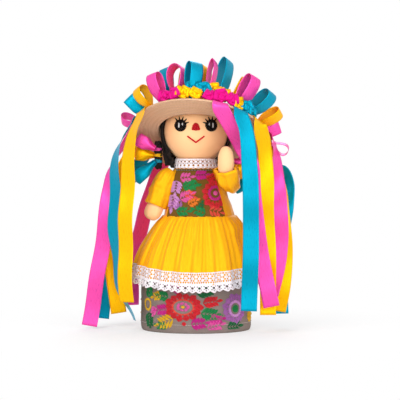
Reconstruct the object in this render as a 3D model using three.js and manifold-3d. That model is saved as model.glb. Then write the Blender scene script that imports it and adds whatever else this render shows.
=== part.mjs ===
// A standing rag doll in a ribboned straw hat, at its real size.
// Millimetres, +Z up. The doll faces -Y and its own left hand is on the +X side.
// The origin is the middle of the flat base that the skirt column stands on.
import * as THREE from 'three';
import { mergeVertices } from 'three/addons/utils/BufferGeometryUtils.js';
import Module from 'manifold-3d';

const wasm = await Module();
wasm.setup();

// Driving dimensions
const SEAT = 0.3; // gap left between two pieces that lie against each other
const CLOTH = 1.2; // thickness of a lined cloth skin
const RIBBON_WIDTH = 16; // satin ribbon
const RIBBON_THICKNESS = 0.7;

const BASE_HALF_WIDTH = 56; // skirt column, side to side
const BASE_HALF_DEPTH = 47; // skirt column, front to back
const BASE_DISC = 3; // stiff card under the column
const TUBE_TOP = 62; // height of the card tube in the column
const TUBE_WALL = 2.4;
const LID = 2; // card lid on the tube
const BALLAST_TOP = 16; // height of the sand bag in the tube

const WAIST = 115; // height of the waist seam
const WAIST_HALF_WIDTH = 37;
const WAIST_HALF_DEPTH = 31;
const WAIST_SHIFT = 3.5; // the body leans a little to the doll's left
const SHOULDER_HALF_WIDTH = 23;
const SHOULDER_HALF_DEPTH = 19;

const HEM_HALF_WIDTH = 64.5; // overskirt at its hem
const HEM_HALF_DEPTH = 57;
const HEM_FRONT = 49; // height of the satin hem in front
const HEM_SIDE_RISE = 8; // how much higher the hem is at the sides
const FOLDS = 22; // gathers round the overskirt
const FOLD_DEPTH = 1.7;
const LACE_ABOVE_HEM = 12;
const LACE_BELOW_HEM = 7;
const LACE_FLARE = 3;

const HEAD = 33; // radius of the stuffed head
const HEAD_HEIGHT = 201; // height of its middle
const NECK = 7; // from the shoulder seams up to the head
const SHOULDER = HEAD_HEIGHT - HEAD - NECK; // height of the shoulder seams
const HAIR = 3.2; // thickness of the yarn hair
const FELT = 0.7; // thickness of the stitched face
const DOWEL = 3.5; // radius of the stick in the neck
const DOWEL_IN_TORSO = 42;
const DOWEL_IN_HEAD = 30;

const ARM_LENGTH = 53;
const SLEEVE_LENGTH = 35;
const ARM_RADIUS = 7.6;

const HAT_TILT = THREE.MathUtils.degToRad(31); // the front of the brim is up
const HAT_ROLL = THREE.MathUtils.degToRad(9); // the brim is lower on the doll's left
const HAT_WALL = 1.6;
const BRIM = 71; // radius of the brim
const BRIM_SHIFT = 7; // the woven brim is wider on the doll's left
const BRIM_DROOP = 2.5; // fall of the brim from the crown to its edge

const COLOURS = {
  pink: 0xf2479f,
  blue: 0x12a7cf,
  yellow: 0xf7b50f,
  satin: 0xf5ad12,
  skin: 0xf2b98a,
  lace: 0xf4ecee,
  hair: 0x17110f,
  straw: 0xcf9f78,
  card: 0xa98b66,
  sand: 0xc9b68f,
  wood: 0xc9a06b,
  muslin: 0xe9d9bd,
  tulle: 0x9a8a80,
  gauze: 0x8a6a24,
  black: 0x0d0a0a,
  red: 0xb81420,
};

// Shared tools

const vec = (x, y, z) => new THREE.Vector3(x, y, z);
const { lerp } = THREE.MathUtils;
const rad = THREE.MathUtils.degToRad;

// Value of a curve given as [place, value] pairs, straight between them.
function along(pairs, place) {
  const next = pairs.findIndex(([at]) => at >= place);
  if (next === 0) return pairs[0][1];
  if (next < 0) return pairs[pairs.length - 1][1];
  const [a, valueA] = pairs[next - 1];
  const [b, valueB] = pairs[next];
  return lerp(valueA, valueB, (place - a) / (b - a));
}

// A closed surface from points and triangles, with its faces turned outwards.
function surface(points, triangles) {
  const volume = triangles.reduce(
    (sum, [a, b, c]) => sum + points[a].dot(points[b].clone().cross(points[c])),
    0,
  );
  const index = triangles.flatMap(([a, b, c]) => (volume < 0 ? [a, c, b] : [a, b, c]));
  return new THREE.BufferGeometry().setFromPoints(points).setIndex(index);
}

// A skin over rings of equal counts. Its ends are capped, or joined to each other in a hollow shell.
// The sides named in turned are split along their other diagonal.
function skin(rings, hollow = false, turned = []) {
  const count = rings[0].length;
  const points = rings.flat();
  const triangles = [];
  const spans = hollow ? rings.length : rings.length - 1;
  for (let i = 0; i < spans; i++) {
    const low = i * count;
    const high = ((i + 1) % rings.length) * count;
    for (let j = 0; j < count; j++) {
      const k = (j + 1) % count;
      if (turned.includes(j)) {
        triangles.push([low + j, low + k, high + j], [low + k, high + k, high + j]);
      } else {
        triangles.push([low + j, low + k, high + k], [low + j, high + k, high + j]);
      }
    }
  }
  if (!hollow) {
    const last = (rings.length - 1) * count;
    for (let j = 0; j < count / 2 - 1; j++) {
      const across = count - 1 - j;
      triangles.push([j, across, j + 1], [j + 1, across, across - 1]);
      triangles.push([last + j, last + j + 1, last + across]);
      triangles.push([last + j + 1, last + across - 1, last + across]);
    }
  }
  return surface(points, triangles);
}

// A level oval of points. The radius may vary round it, with angle 0 at the doll's front.
function oval(x, z, halfWidth, halfDepth, count, swell = () => 0) {
  return Array.from({ length: count }, (_, i) => {
    const turn = (2 * Math.PI * i) / count;
    const more = swell(turn);
    const height = typeof z === 'function' ? z(turn) : z;
    return vec(x + (halfWidth + more) * Math.sin(turn), -(halfDepth + more) * Math.cos(turn), height);
  });
}

// A round ring about a line.
function roundRing(middle, side, up, radius, count) {
  return Array.from({ length: count }, (_, i) => {
    const turn = (2 * Math.PI * i) / count;
    return middle
      .clone()
      .addScaledVector(side, radius * Math.cos(turn))
      .addScaledVector(up, radius * Math.sin(turn));
  });
}

// A flat ribbon through stations, each with a point, the direction across it and its normal.
function ribbon(stations, width = RIBBON_WIDTH, thickness = RIBBON_THICKNESS) {
  const rings = stations.map(({ point, across, normal }) =>
    [[-1, -1], [1, -1], [1, 1], [-1, 1]].map(([s, t]) =>
      point
        .clone()
        .addScaledVector(across, (s * width) / 2)
        .addScaledVector(normal, (t * thickness) / 2),
    ),
  );
  const BACK = 2; // split like the front, so that a twisted ribbon keeps its thickness
  return skin(rings, false, [BACK]);
}

function toManifold(geometry) {
  const plain = geometry.clone();
  plain.deleteAttribute('normal');
  plain.deleteAttribute('uv');
  const merged = mergeVertices(plain, 1e-4);
  return new wasm.Manifold(
    new wasm.Mesh({
      numProp: 3,
      vertProperties: merged.attributes.position.array,
      triVerts: new Uint32Array(merged.index.array),
    }),
  );
}

function fromManifold(solid) {
  const mesh = solid.getMesh();
  return new THREE.BufferGeometry()
    .setAttribute('position', new THREE.BufferAttribute(mesh.vertProperties, mesh.numProp))
    .setIndex(new THREE.BufferAttribute(mesh.triVerts, 1));
}

const cut = (geometry, ...cutters) =>
  fromManifold(cutters.reduce((left, c) => left.subtract(toManifold(c)), toManifold(geometry)));

const join = (geometry, ...others) =>
  fromManifold(others.reduce((sum, o) => sum.add(toManifold(o)), toManifold(geometry)));

function piece(name, geometry, colour, roughness = 0.8) {
  const material = new THREE.MeshStandardMaterial({ color: COLOURS[colour], roughness, metalness: 0 });
  const mesh = new THREE.Mesh(geometry, material);
  mesh.name = name;
  return mesh;
}

const doll = new THREE.Group();

// Skirt column: a card tube on a card disc with a sand bag in it, dressed in the embroidered underskirt

const SKIRT_SIDES = 44;
const tubeHalfWidth = BASE_HALF_WIDTH - CLOTH - SEAT;
const tubeHalfDepth = BASE_HALF_DEPTH - CLOTH - SEAT;

function drum(low, high, inset, sides) {
  return skin([low, high].map((z) => oval(0, z, tubeHalfWidth - inset, tubeHalfDepth - inset, sides)));
}

const coreTube = skin(
  [
    [BASE_DISC + SEAT, 0],
    [TUBE_TOP, 0],
    [TUBE_TOP, TUBE_WALL],
    [BASE_DISC + SEAT, TUBE_WALL],
  ].map(([z, inset]) => oval(0, z, tubeHalfWidth - inset, tubeHalfDepth - inset, SKIRT_SIDES)),
  true,
);
const lidTop = TUBE_TOP + SEAT + LID;

// Half sizes of the underskirt at a height, as a share of the base.
const HEM_ROLL = 3.5; // height of the rounded hem
const ABOVE_LID = 12; // the cloth runs this far past the lid, in to the hips
const UNDERSKIRT_TAPER = [
  [0, 0.975],
  [HEM_ROLL, 1],
  [lidTop + CLOTH, 1],
  [lidTop + ABOVE_LID, 0.87],
];
const underskirtRing = (z, inset) => {
  const share = along(UNDERSKIRT_TAPER, z);
  return oval(0, z, BASE_HALF_WIDTH * share - inset, BASE_HALF_DEPTH * share - inset, SKIRT_SIDES);
};
const underskirtHeights = UNDERSKIRT_TAPER.map(([z]) => z);
const hemTurn = 0.4; // the cloth is thinner where it turns under the disc
const underskirt = skin(
  [
    ...underskirtHeights.map((z) => underskirtRing(z, 0)),
    ...underskirtHeights.reverse().map((z) => underskirtRing(z, z === 0 ? hemTurn : CLOTH)),
  ],
  true,
);
const baseDisc = skin(
  [0, BASE_DISC].map((z) => {
    const share = z === 0 ? along(UNDERSKIRT_TAPER, 0) : 1;
    const inset = z === 0 ? hemTurn + SEAT : CLOTH + SEAT;
    return oval(0, z, BASE_HALF_WIDTH * share - inset, BASE_HALF_DEPTH * share - inset, SKIRT_SIDES);
  }),
);

doll.add(
  piece('base_disc', baseDisc, 'card'),
  piece('core_tube', coreTube, 'card'),
  piece('tube_lid', drum(TUBE_TOP + SEAT, lidTop, 0, SKIRT_SIDES), 'card'),
  piece('ballast_bag', drum(BASE_DISC + SEAT, BALLAST_TOP, TUBE_WALL + SEAT, 24), 'sand'),
  piece('underskirt', underskirt, 'tulle'),
);

// Torso: a stuffed muslin body that swells to the hips, on a stick that carries the head

const headMiddle = vec(0, 0, HEAD_HEIGHT);

// [height, x of the middle, half width, half depth] of the bare body.
const TORSO = [
  [lidTop + SEAT, 0, WAIST_HALF_WIDTH - 7, WAIST_HALF_DEPTH - 7],
  [lidTop + 6, 0, WAIST_HALF_WIDTH - 2, WAIST_HALF_DEPTH - 2],
  [WAIST - 12, WAIST_SHIFT * 0.8, WAIST_HALF_WIDTH - 1, WAIST_HALF_DEPTH - 1],
  [WAIST, WAIST_SHIFT, WAIST_HALF_WIDTH - 2, WAIST_HALF_DEPTH - 2],
  [lerp(WAIST, SHOULDER, 0.5), WAIST_SHIFT * 0.6, lerp(WAIST_HALF_WIDTH, SHOULDER_HALF_WIDTH, 0.46) - 2,
    lerp(WAIST_HALF_DEPTH, SHOULDER_HALF_DEPTH, 0.46) - 2],
  [SHOULDER, 0.5, SHOULDER_HALF_WIDTH - 2, SHOULDER_HALF_DEPTH - 2],
  [SHOULDER + 5, 0, SHOULDER_HALF_WIDTH - 5, SHOULDER_HALF_DEPTH - 4],
  [SHOULDER + 9, 0, SHOULDER_HALF_WIDTH - 10, SHOULDER_HALF_DEPTH - 7],
];
const BODY_SIDES = 28;
const bodyRing = ([z, x, halfWidth, halfDepth], more) =>
  oval(x, z, halfWidth + more, halfDepth + more, BODY_SIDES);

function ball(middle, radius, sides = 28, rows = 18) {
  return new THREE.SphereGeometry(radius, sides, rows)
    .rotateX(Math.PI / 2)
    .translate(middle.x, middle.y, middle.z);
}

function stick(low, high, radius, sides = 12) {
  return skin([low, high].map((z) => roundRing(vec(0, 0, z), vec(1, 0, 0), vec(0, 1, 0), radius, sides)));
}

const headClear = ball(headMiddle, HEAD + SEAT + 0.1);
const dowelLow = SHOULDER + 5 - DOWEL_IN_TORSO;
const dowelHigh = HEAD_HEIGHT - HEAD + DOWEL_IN_HEAD;
const dowelHole = stick(dowelLow - SEAT, dowelHigh + SEAT, DOWEL + SEAT);
const torso = cut(skin(TORSO.map((row) => bodyRing(row, 0))), headClear, dowelHole);

// Blouse: a satin skin round the torso from the waist to the neck
const BLOUSE_ROWS = TORSO.slice(3);
const blouseInner = SEAT;
const blouseOuter = SEAT + CLOTH;
const blouse = cut(
  skin(
    [
      ...BLOUSE_ROWS.map((row) => bodyRing(row, blouseOuter)),
      ...BLOUSE_ROWS.slice().reverse().map((row) => bodyRing(row, blouseInner)),
    ],
    true,
  ),
  headClear,
);

// Bodice panel: the embroidered front, a patch that lies on the blouse
const PANEL_THICKNESS = 0.9;
const PANEL_TURN = [-58, 42]; // degrees round the waist, from the front
const PANEL_STEPS = 12;
function panelRow([z, x, halfWidth, halfDepth], more) {
  return Array.from({ length: PANEL_STEPS + 1 }, (_, i) => {
    const turn = rad(lerp(...PANEL_TURN, i / PANEL_STEPS));
    return vec(x + (halfWidth + more) * Math.sin(turn), -(halfDepth + more) * Math.cos(turn), z);
  });
}
const panelLow = blouseOuter + SEAT + 0.4;
const PANEL_ROWS = BLOUSE_ROWS.slice(0, 3).map((row, i) => (i === 0 ? [row[0] + 1, ...row.slice(1)] : row));
PANEL_ROWS.push([SHOULDER + 2.5, 0, SHOULDER_HALF_WIDTH - 3.2, SHOULDER_HALF_DEPTH - 2.8]);
const bodicePanel = skin(
  PANEL_ROWS.map((row) => [
    ...panelRow(row, panelLow + PANEL_THICKNESS),
    ...panelRow(row, panelLow).reverse(),
  ]),
);

// Lace collar: a standing band round the neck seam
const COLLAR_SIDES = 28;
const COLLAR_FOOT = SHOULDER + 3.5;
const COLLAR_HEIGHT = 9;
const collarFootRadius = SHOULDER_HALF_WIDTH - 1.2;
const collarRing = (z, radius) => oval(0, z, radius, radius, COLLAR_SIDES);
const collarTop = COLLAR_FOOT + COLLAR_HEIGHT;
const headRadiusAt = (z) => Math.sqrt(Math.max(0, (HEAD + SEAT + 0.2) ** 2 - (z - HEAD_HEIGHT) ** 2));
const collarTopRadius = headRadiusAt(collarTop) + 0.4;
const laceCollar = skin(
  [
    collarRing(COLLAR_FOOT, collarFootRadius + CLOTH),
    collarRing(collarTop, collarTopRadius + CLOTH),
    collarRing(collarTop, collarTopRadius),
    collarRing(COLLAR_FOOT, collarFootRadius),
  ],
  true,
);

doll.add(
  piece('torso', torso, 'muslin'),
  piece('neck_dowel', stick(dowelLow, dowelHigh, DOWEL), 'wood'),
  piece('blouse', blouse, 'satin', 0.4),
  piece('bodice_panel', bodicePanel, 'gauze'),
);

// Overskirt: gathered satin from the waist, with a lace ruffle sewn over its hem

const hemHeight = (turn) => HEM_FRONT + HEM_SIDE_RISE * Math.sin(turn) ** 2;
const gather = (turn, share) => FOLD_DEPTH * share * Math.cos(FOLDS * turn + 1.2 * Math.sin(3 * turn));
const GATHER_SIDES = FOLDS * 4;
// [share of the way from the waist to the hem, share of the flare]
const FLARE = [
  [0, 0],
  [0.16, 0.26],
  [0.32, 0.47],
  [0.55, 0.73],
  [0.8, 0.92],
  [1, 1],
];
const waistClear = blouseOuter - 2 + SEAT + 0.5;

function overskirtRing(down, spread, inset, drop = 0) {
  return oval(
    WAIST_SHIFT * (1 - spread),
    (turn) => lerp(WAIST, hemHeight(turn), down) - drop,
    lerp(WAIST_HALF_WIDTH + waistClear + CLOTH, HEM_HALF_WIDTH, spread) - inset,
    lerp(WAIST_HALF_DEPTH + waistClear + CLOTH, HEM_HALF_DEPTH, spread) - inset,
    GATHER_SIDES,
    (turn) => gather(turn, 0.25 + 0.75 * spread),
  );
}
const overskirt = skin(
  [
    ...FLARE.map(([down, spread]) => overskirtRing(down, spread, 0)),
    ...FLARE.slice().reverse().map(([down, spread]) => overskirtRing(down, spread, CLOTH)),
  ],
  true,
);
const laceOut = CLOTH + SEAT + 0.1;
const laceTopShare = 1 - LACE_ABOVE_HEM / (WAIST - HEM_FRONT);
const laceTopSpread = along(FLARE, laceTopShare);
const overskirtLace = skin(
  [
    overskirtRing(laceTopShare, laceTopSpread, -laceOut),
    overskirtRing(1, 1, -laceOut),
    overskirtRing(1, 1, -laceOut - LACE_FLARE, LACE_BELOW_HEM),
    overskirtRing(1, 1, CLOTH - laceOut - LACE_FLARE, LACE_BELOW_HEM),
    overskirtRing(1, 1, CLOTH - laceOut),
    overskirtRing(laceTopShare, laceTopSpread, CLOTH - laceOut),
  ],
  true,
);

doll.add(
  piece('overskirt', overskirt, 'satin', 0.4),
  piece('overskirt_lace', overskirtLace, 'lace'),
  piece('lace_collar', laceCollar, 'lace'),
);

// Arms: stuffed limbs in satin sleeves, sewn on at the shoulder seams and cut to lie against the blouse

const ARM_SIDES = 14;
// [distance from the shoulder, share of the arm's radius]
const ARM_SWELL = [
  [-3, 0.5],
  [0, 0.92],
  [6, 1.08],
  [14, 1.02],
  [SLEEVE_LENGTH, 0.98],
  [ARM_LENGTH - 11, 1.14],
  [ARM_LENGTH - 5, 1.04],
  [ARM_LENGTH - 1.5, 0.68],
  [ARM_LENGTH, 0.28],
];
const SLEEVE_SWELL = [
  [-2, 0.98],
  [6, 1.12],
  [18, 1.2],
  [SLEEVE_LENGTH - 4, 1.24],
  [SLEEVE_LENGTH, 1.2],
];
const bodyClear = skin(BLOUSE_ROWS.map((row) => bodyRing(row, blouseOuter + PANEL_THICKNESS + 1.4)));

function arm(side, shoulder, direction, swings) {
  const group = new THREE.Group();
  group.position.copy(shoulder);
  const across = vec(1, 0, 0).addScaledVector(direction, -direction.x).normalize();
  const up = direction.clone().cross(across);
  const ring = (at, radius) => roundRing(direction.clone().multiplyScalar(at), across, up, radius, ARM_SIDES);
  const limb = skin(ARM_SWELL.map(([at, share]) => ring(at, ARM_RADIUS * share)));
  const sleeveRing = (at, share, inset) => ring(at, ARM_RADIUS * share + CLOTH + SEAT - inset);
  const sleeve = skin(
    [
      ...SLEEVE_SWELL.map(([at, share]) => sleeveRing(at, share, 0)),
      ...SLEEVE_SWELL.slice().reverse().map(([at, share]) => sleeveRing(at, share, CLOTH)),
    ],
    true,
  );
  const collar = stick(COLLAR_FOOT - 1, collarTop + 1, collarFootRadius + CLOTH + 1, COLLAR_SIDES);
  const clear = swings.flatMap((degrees) =>
    [bodyClear, collar].map((solid) =>
      solid.clone().translate(-shoulder.x, -shoulder.y, -shoulder.z).rotateX(-rad(degrees)),
    ),
  );
  group.add(
    piece(`${side}_arm`, cut(limb, ...clear), 'skin'),
    piece(`${side}_sleeve`, cut(sleeve, ...clear), 'satin', 0.4),
  );
  return group;
}
const SHOULDER_OUT = SHOULDER_HALF_WIDTH + 2;
// The degrees are the turns about the shoulder, forwards and up being negative, that the arm must clear.
doll.add(
  arm('right', vec(-SHOULDER_OUT, -4, SHOULDER - 1), vec(-0.42, -0.1, -0.9).normalize(), [-20, 0, 6, 12]),
  arm('left', vec(SHOULDER_OUT, -9, SHOULDER - 2), vec(0.16, -0.93, 0.32).normalize(), [-8, 0, 6, 12, 18]),
);

// Head: a stuffed ball with a stitched face, and yarn hair over the back of it

doll.add(piece('head', cut(ball(headMiddle, HEAD), dowelHole), 'skin'));

// A point on the face, given across and up from the middle of the head, a little off the skin.
function onFace(x, up, off) {
  const radius = HEAD + off;
  return vec(x, -Math.sqrt(radius ** 2 - x ** 2 - up ** 2), HEAD_HEIGHT + up);
}

// A stitched patch on the face. The outline gives [x, up] at an angle.
function patch(middleX, middleUp, outline, count) {
  const RINGS = 3;
  const layer = (off, share) =>
    Array.from({ length: count }, (_, i) => {
      const [x, up] = outline((2 * Math.PI * i) / count);
      return onFace(middleX + x * share, middleUp + up * share, off);
    });
  const shares = Array.from({ length: RINGS }, (_, i) => (i + 1) / RINGS);
  return skin([
    ...shares.map((share) => layer(SEAT, share)),
    ...shares.reverse().map((share) => layer(SEAT + FELT, share)),
  ]);
}

// A line of stitching on the face through [x, up] points.
function stitched(points, width) {
  const HALF = width / 2;
  return skin(
    points.map(([x, up], i) => {
      const [ax, aUp] = points[Math.max(i - 1, 0)];
      const [bx, bUp] = points[Math.min(i + 1, points.length - 1)];
      const run = Math.hypot(bx - ax, bUp - aUp);
      const [sx, sUp] = [(-HALF * (bUp - aUp)) / run, (HALF * (bx - ax)) / run];
      return [
        onFace(x - sx, up - sUp, SEAT),
        onFace(x + sx, up + sUp, SEAT),
        onFace(x + sx, up + sUp, SEAT + FELT),
        onFace(x - sx, up - sUp, SEAT + FELT),
      ];
    }),
  );
}

const EYE_APART = 31; // between the middles of the eyes
const EYE_UP = 6.2; // above the middle of the head
const EYE_HALF_WIDTH = 5.7;
const EYE_HALF_HEIGHT = 5.6;
const LASH_WIDTH = 0.7;
const LASH_LENGTH = 3.2;
const LASHES = [-62, -36, -8, 22, 48]; // degrees from straight up
const NOSE_UP = 4;
const MOUTH_UP = -4.8;
const MOUTH_HALF_WIDTH = 8.4;
const MOUTH_DROP = 6.2;

function eye(side) {
  const middleX = (side * EYE_APART) / 2;
  const outline = (t) => [EYE_HALF_WIDTH * Math.cos(t), EYE_HALF_HEIGHT * Math.sin(t)];
  const pad = patch(middleX, EYE_UP, outline, 20);
  const lashes = LASHES.map((degrees) => {
    const turn = rad(side * degrees);
    const [sx, sUp] = [Math.sin(turn), Math.cos(turn)];
    const at = (more) => [
      middleX + sx * (EYE_HALF_WIDTH + more),
      EYE_UP + sUp * (EYE_HALF_HEIGHT + more),
    ];
    return stitched([at(-1), at(LASH_LENGTH / 2), at(LASH_LENGTH)], LASH_WIDTH);
  });
  return join(pad, ...lashes);
}

const noseOutline = (t) => {
  const [x, up] = [Math.cos(t), Math.sin(t)];
  return [4 * x * (up > 0 ? 1 - 0.45 * up : 1), up > 0 ? 4.4 * up : 2.6 * Math.max(up, -0.8)];
};
doll.add(
  piece('right_eye', eye(-1), 'black'),
  piece('left_eye', eye(1), 'black'),
  piece('nose', patch(0, NOSE_UP, noseOutline, 16), 'red'),
  piece(
    'mouth',
    stitched(
      [
        [-MOUTH_HALF_WIDTH, MOUTH_UP],
        [-MOUTH_HALF_WIDTH / 2, MOUTH_UP - MOUTH_DROP / 2],
        [0, MOUTH_UP - MOUTH_DROP],
        [MOUTH_HALF_WIDTH / 2, MOUTH_UP - MOUTH_DROP / 2],
        [MOUTH_HALF_WIDTH, MOUTH_UP],
      ],
      1.2,
    ),
    'red',
  ),
);

// Hair cap: a yarn shell over the back of the head, down to the nape
const HAIR_FRONT = rad(96); // how far it comes forward from the back
const NAPE = rad(128); // how far it comes down from the top
const HAIR_STEPS = 16;
const HAIR_ROWS = 9;
const hairRadius = HEAD + SEAT + 0.4; // clear of the ball between its facets
function hairPoint(turn, down, radius) {
  return vec(
    headMiddle.x + radius * Math.sin(turn) * Math.sin(down),
    headMiddle.y + radius * Math.cos(turn) * Math.sin(down),
    headMiddle.z + radius * Math.cos(down),
  );
}
const HAIR_TOP = rad(12); // a small opening at the crown of the head, under the hat
const hairCap = skin(
  Array.from({ length: HAIR_ROWS + 1 }, (_, row) => {
    const down = lerp(HAIR_TOP, NAPE, row / HAIR_ROWS);
    const arc = (radius) =>
      Array.from({ length: HAIR_STEPS + 1 }, (__, i) =>
        hairPoint(lerp(-HAIR_FRONT, HAIR_FRONT, i / HAIR_STEPS), down, radius),
      );
    return [...arc(hairRadius + HAIR), ...arc(hairRadius).reverse()];
  }),
);

const collarClear = skin(
  [COLLAR_FOOT, collarTop + 1].map((z) => collarRing(z, collarTopRadius + CLOTH + 2 * SEAT)),
);
doll.add(piece('hair_cap', cut(hairCap, collarClear), 'hair'));

// Braids: yarn plaits that hang from the hair at each side, each with ribbon loops tied to it

const BRAID = 4; // radius of a plait
const BRAID_LENGTH = 27;
const PLAITS = 4; // bulges along a braid
const BOW_WIDTH = 13;
const BOW_OFF = BRAID + 1.2; // the loops are tied on in front of the braid and behind it
// [side, mirror, drop of the braid's top below the middle of the head, y of the braid, its bow]
// Bow: [colour, length, degrees from straight out (up is positive), drop along the braid, front or back]
const BRAIDS = [
  ['right', -1, 10, 3, [['pink', 24, 30, 7, -1], ['yellow', 20, 6, 14, 1], ['blue', 29, -50, 21, -1]]],
  ['left', 1, 21, 6, [['pink', 21, -20, 8, 1], ['yellow', 20, -32, 13, -1], ['blue', 24, -54, 22, 1]]],
];

const LOOP_FOOT = RIBBON_THICKNESS / 2 + 0.25; // half the gap between the two ends of a loop

// A loop of ribbon that leaves a point along a direction, swells and comes back.
function ribbonLoop(start, direction, across, length, belly, width) {
  const STEPS = 14;
  const side = across.clone().cross(direction).normalize();
  const place = (t) => {
    const out = (length * (1 - Math.cos(2 * Math.PI * t))) / 2;
    const swell = belly * Math.sin(2 * Math.PI * t) * Math.sin(Math.PI * t) ** 2;
    return start
      .clone()
      .addScaledVector(direction, out)
      .addScaledVector(side, LOOP_FOOT * Math.cos(Math.PI * t) + swell);
  };
  const stations = Array.from({ length: STEPS + 1 }, (_, i) => {
    const t = i / STEPS;
    const run = place(Math.min(t + 0.01, 1)).sub(place(Math.max(t - 0.01, 0))).normalize();
    return { point: place(t), across, normal: run.cross(across).normalize() };
  });
  return ribbon(stations, width);
}

BRAIDS.forEach(([side, mirror, drop, y, bow]) => {
  const group = new THREE.Group();
  const hairAt = Math.sqrt((hairRadius + HAIR) ** 2 - drop ** 2 - y ** 2);
  group.position.set(mirror * (hairAt + BRAID - 0.9), y, HEAD_HEIGHT - drop);
  const STEPS = PLAITS * 4;
  const rings = Array.from({ length: STEPS + 1 }, (_, i) => {
    const share = i / STEPS;
    const end = i === 0 || i === STEPS ? 0.55 : 1;
    const bulge = BRAID * end * (0.84 + 0.16 * Math.cos(2 * Math.PI * PLAITS * share + Math.PI));
    return roundRing(vec(0, 0, -BRAID_LENGTH * share), vec(1, 0, 0), vec(0, 1, 0), bulge, 10);
  });
  group.add(piece(`${side}_braid`, skin(rings), 'hair'));
  bow.forEach(([colour, length, degrees, down, face]) => {
    const turn = rad(degrees);
    const direction = vec(mirror * Math.cos(turn), 0, Math.sin(turn));
    const across = vec(-mirror * Math.sin(turn), 0, Math.cos(turn));
    const loop = ribbonLoop(vec(0, face * BOW_OFF, -down), direction, across, length, 4.5, BOW_WIDTH);
    group.add(piece(`${side}_bow_${colour}`, loop, colour, 0.35));
  });
  doll.add(group);
});

// Hat: woven straw, worn tilted back. Its own +Z runs up the crown and -Y is its front

const hat = new THREE.Group();
const crownInner = hairRadius + HAIR + 0.6;
const HAT_BELOW_HEAD = 4; // the brim is this far below the middle of the head, along the crown
hat.rotation.set(-HAT_TILT, HAT_ROLL, 0, 'YXZ');
hat.position.copy(headMiddle).addScaledVector(vec(0, 0, 1).applyEuler(hat.rotation), -HAT_BELOW_HEAD);
hat.updateMatrix();

const HAT_SIDES = 44;
const brimShare = (radius) => Math.max(0, radius - crownInner) / (BRIM - crownInner);
const brimMiddle = (radius) => BRIM_SHIFT * brimShare(radius);
const brimHeight = (radius) => -BRIM_DROOP * brimShare(radius) ** 2;
const hatRing = (radius, height) => oval(brimMiddle(radius), height, radius, radius, HAT_SIDES);
const BRIM_RADII = [crownInner + HAT_WALL + 1, 52, 62, BRIM];
const DOME = [8, 23, 38, 52, 66, 79, 90].map(rad); // from the top of the crown down
const domeRing = (turn, radius) => hatRing(radius * Math.sin(turn), HAT_BELOW_HEAD + radius * Math.cos(turn));
const straw = skin([
  ...DOME.map((turn) => domeRing(turn, crownInner + HAT_WALL)),
  ...BRIM_RADII.map((radius) => hatRing(radius, brimHeight(radius) + HAT_WALL)),
  ...BRIM_RADII.slice().reverse().map((radius) => hatRing(radius, brimHeight(radius))),
  hatRing(crownInner, brimHeight(crownInner)),
  ...DOME.slice().reverse().map((turn) => domeRing(turn, crownInner)),
]);
hat.add(piece('straw_hat', straw, 'straw', 0.9));

// Ribbon loops: a fan of satin loops stitched to the brim in two rows round the crown

const OUTER_ROW = 54.5; // distance of the rows from the middle of the hat
const INNER_ROW = 43;
const LOOP_BELLY = 4.6;
const LOOP_WIDTH = 14;
// [colour, degrees round the brim from the front, row, lean outwards in degrees, length, twist in degrees]
const LOOPS = [
  ['pink', -95, OUTER_ROW, 74, 28, 0],
  ['blue', -77, OUTER_ROW, 60, 28, 60],
  ['yellow', -61.5, OUTER_ROW, 50, 29, 0],
  ['pink', -46, OUTER_ROW, 38, 34, 10],
  ['blue', -46, INNER_ROW, 18, 48, 0],
  ['pink', -29.5, OUTER_ROW, 16, 41, 22],
  ['yellow', -24, INNER_ROW, 6, 46, 0],
  ['blue', -13, OUTER_ROW, 20, 44, 0],
  ['yellow', -2, INNER_ROW, 8, 49, 0],
  ['pink', 3, OUTER_ROW, 16, 49, 22],
  ['blue', 20, INNER_ROW, 12, 63, 0],
  ['yellow', 42, INNER_ROW, 26, 47, 0],
  ['pink', 35, OUTER_ROW, 34, 44, 10],
  ['blue', 50, OUTER_ROW, 52, 40, 0],
  ['yellow', 65.5, OUTER_ROW, 58, 36, 0],
  ['pink', 82, OUTER_ROW, 60, 32, 60],
];
LOOPS.forEach(([colour, degrees, row, lean, length, twist], i) => {
  const turn = rad(degrees);
  const outward = vec(Math.sin(turn), -Math.cos(turn), 0);
  const tangent = vec(Math.cos(turn), Math.sin(turn), 0);
  const direction = outward.clone().multiplyScalar(Math.sin(rad(lean))).add(vec(0, 0, Math.cos(rad(lean))));
  const across = tangent.applyAxisAngle(direction, rad(twist));
  const start = outward.clone().multiplyScalar(row).add(vec(brimMiddle(row), 0, 0));
  const halfThick = LOOP_FOOT + RIBBON_THICKNESS / 2;
  const below = halfThick * Math.cos(rad(twist)) + (LOOP_WIDTH / 2) * Math.sin(rad(twist));
  start.z = brimHeight(row) + HAT_WALL + SEAT + 0.1 + below * Math.sin(rad(lean));
  const name = `loop_${String(i + 1).padStart(2, '0')}_${colour}`;
  hat.add(piece(name, ribbonLoop(start, direction, across, length, LOOP_BELLY, LOOP_WIDTH), colour, 0.35));
});

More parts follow.
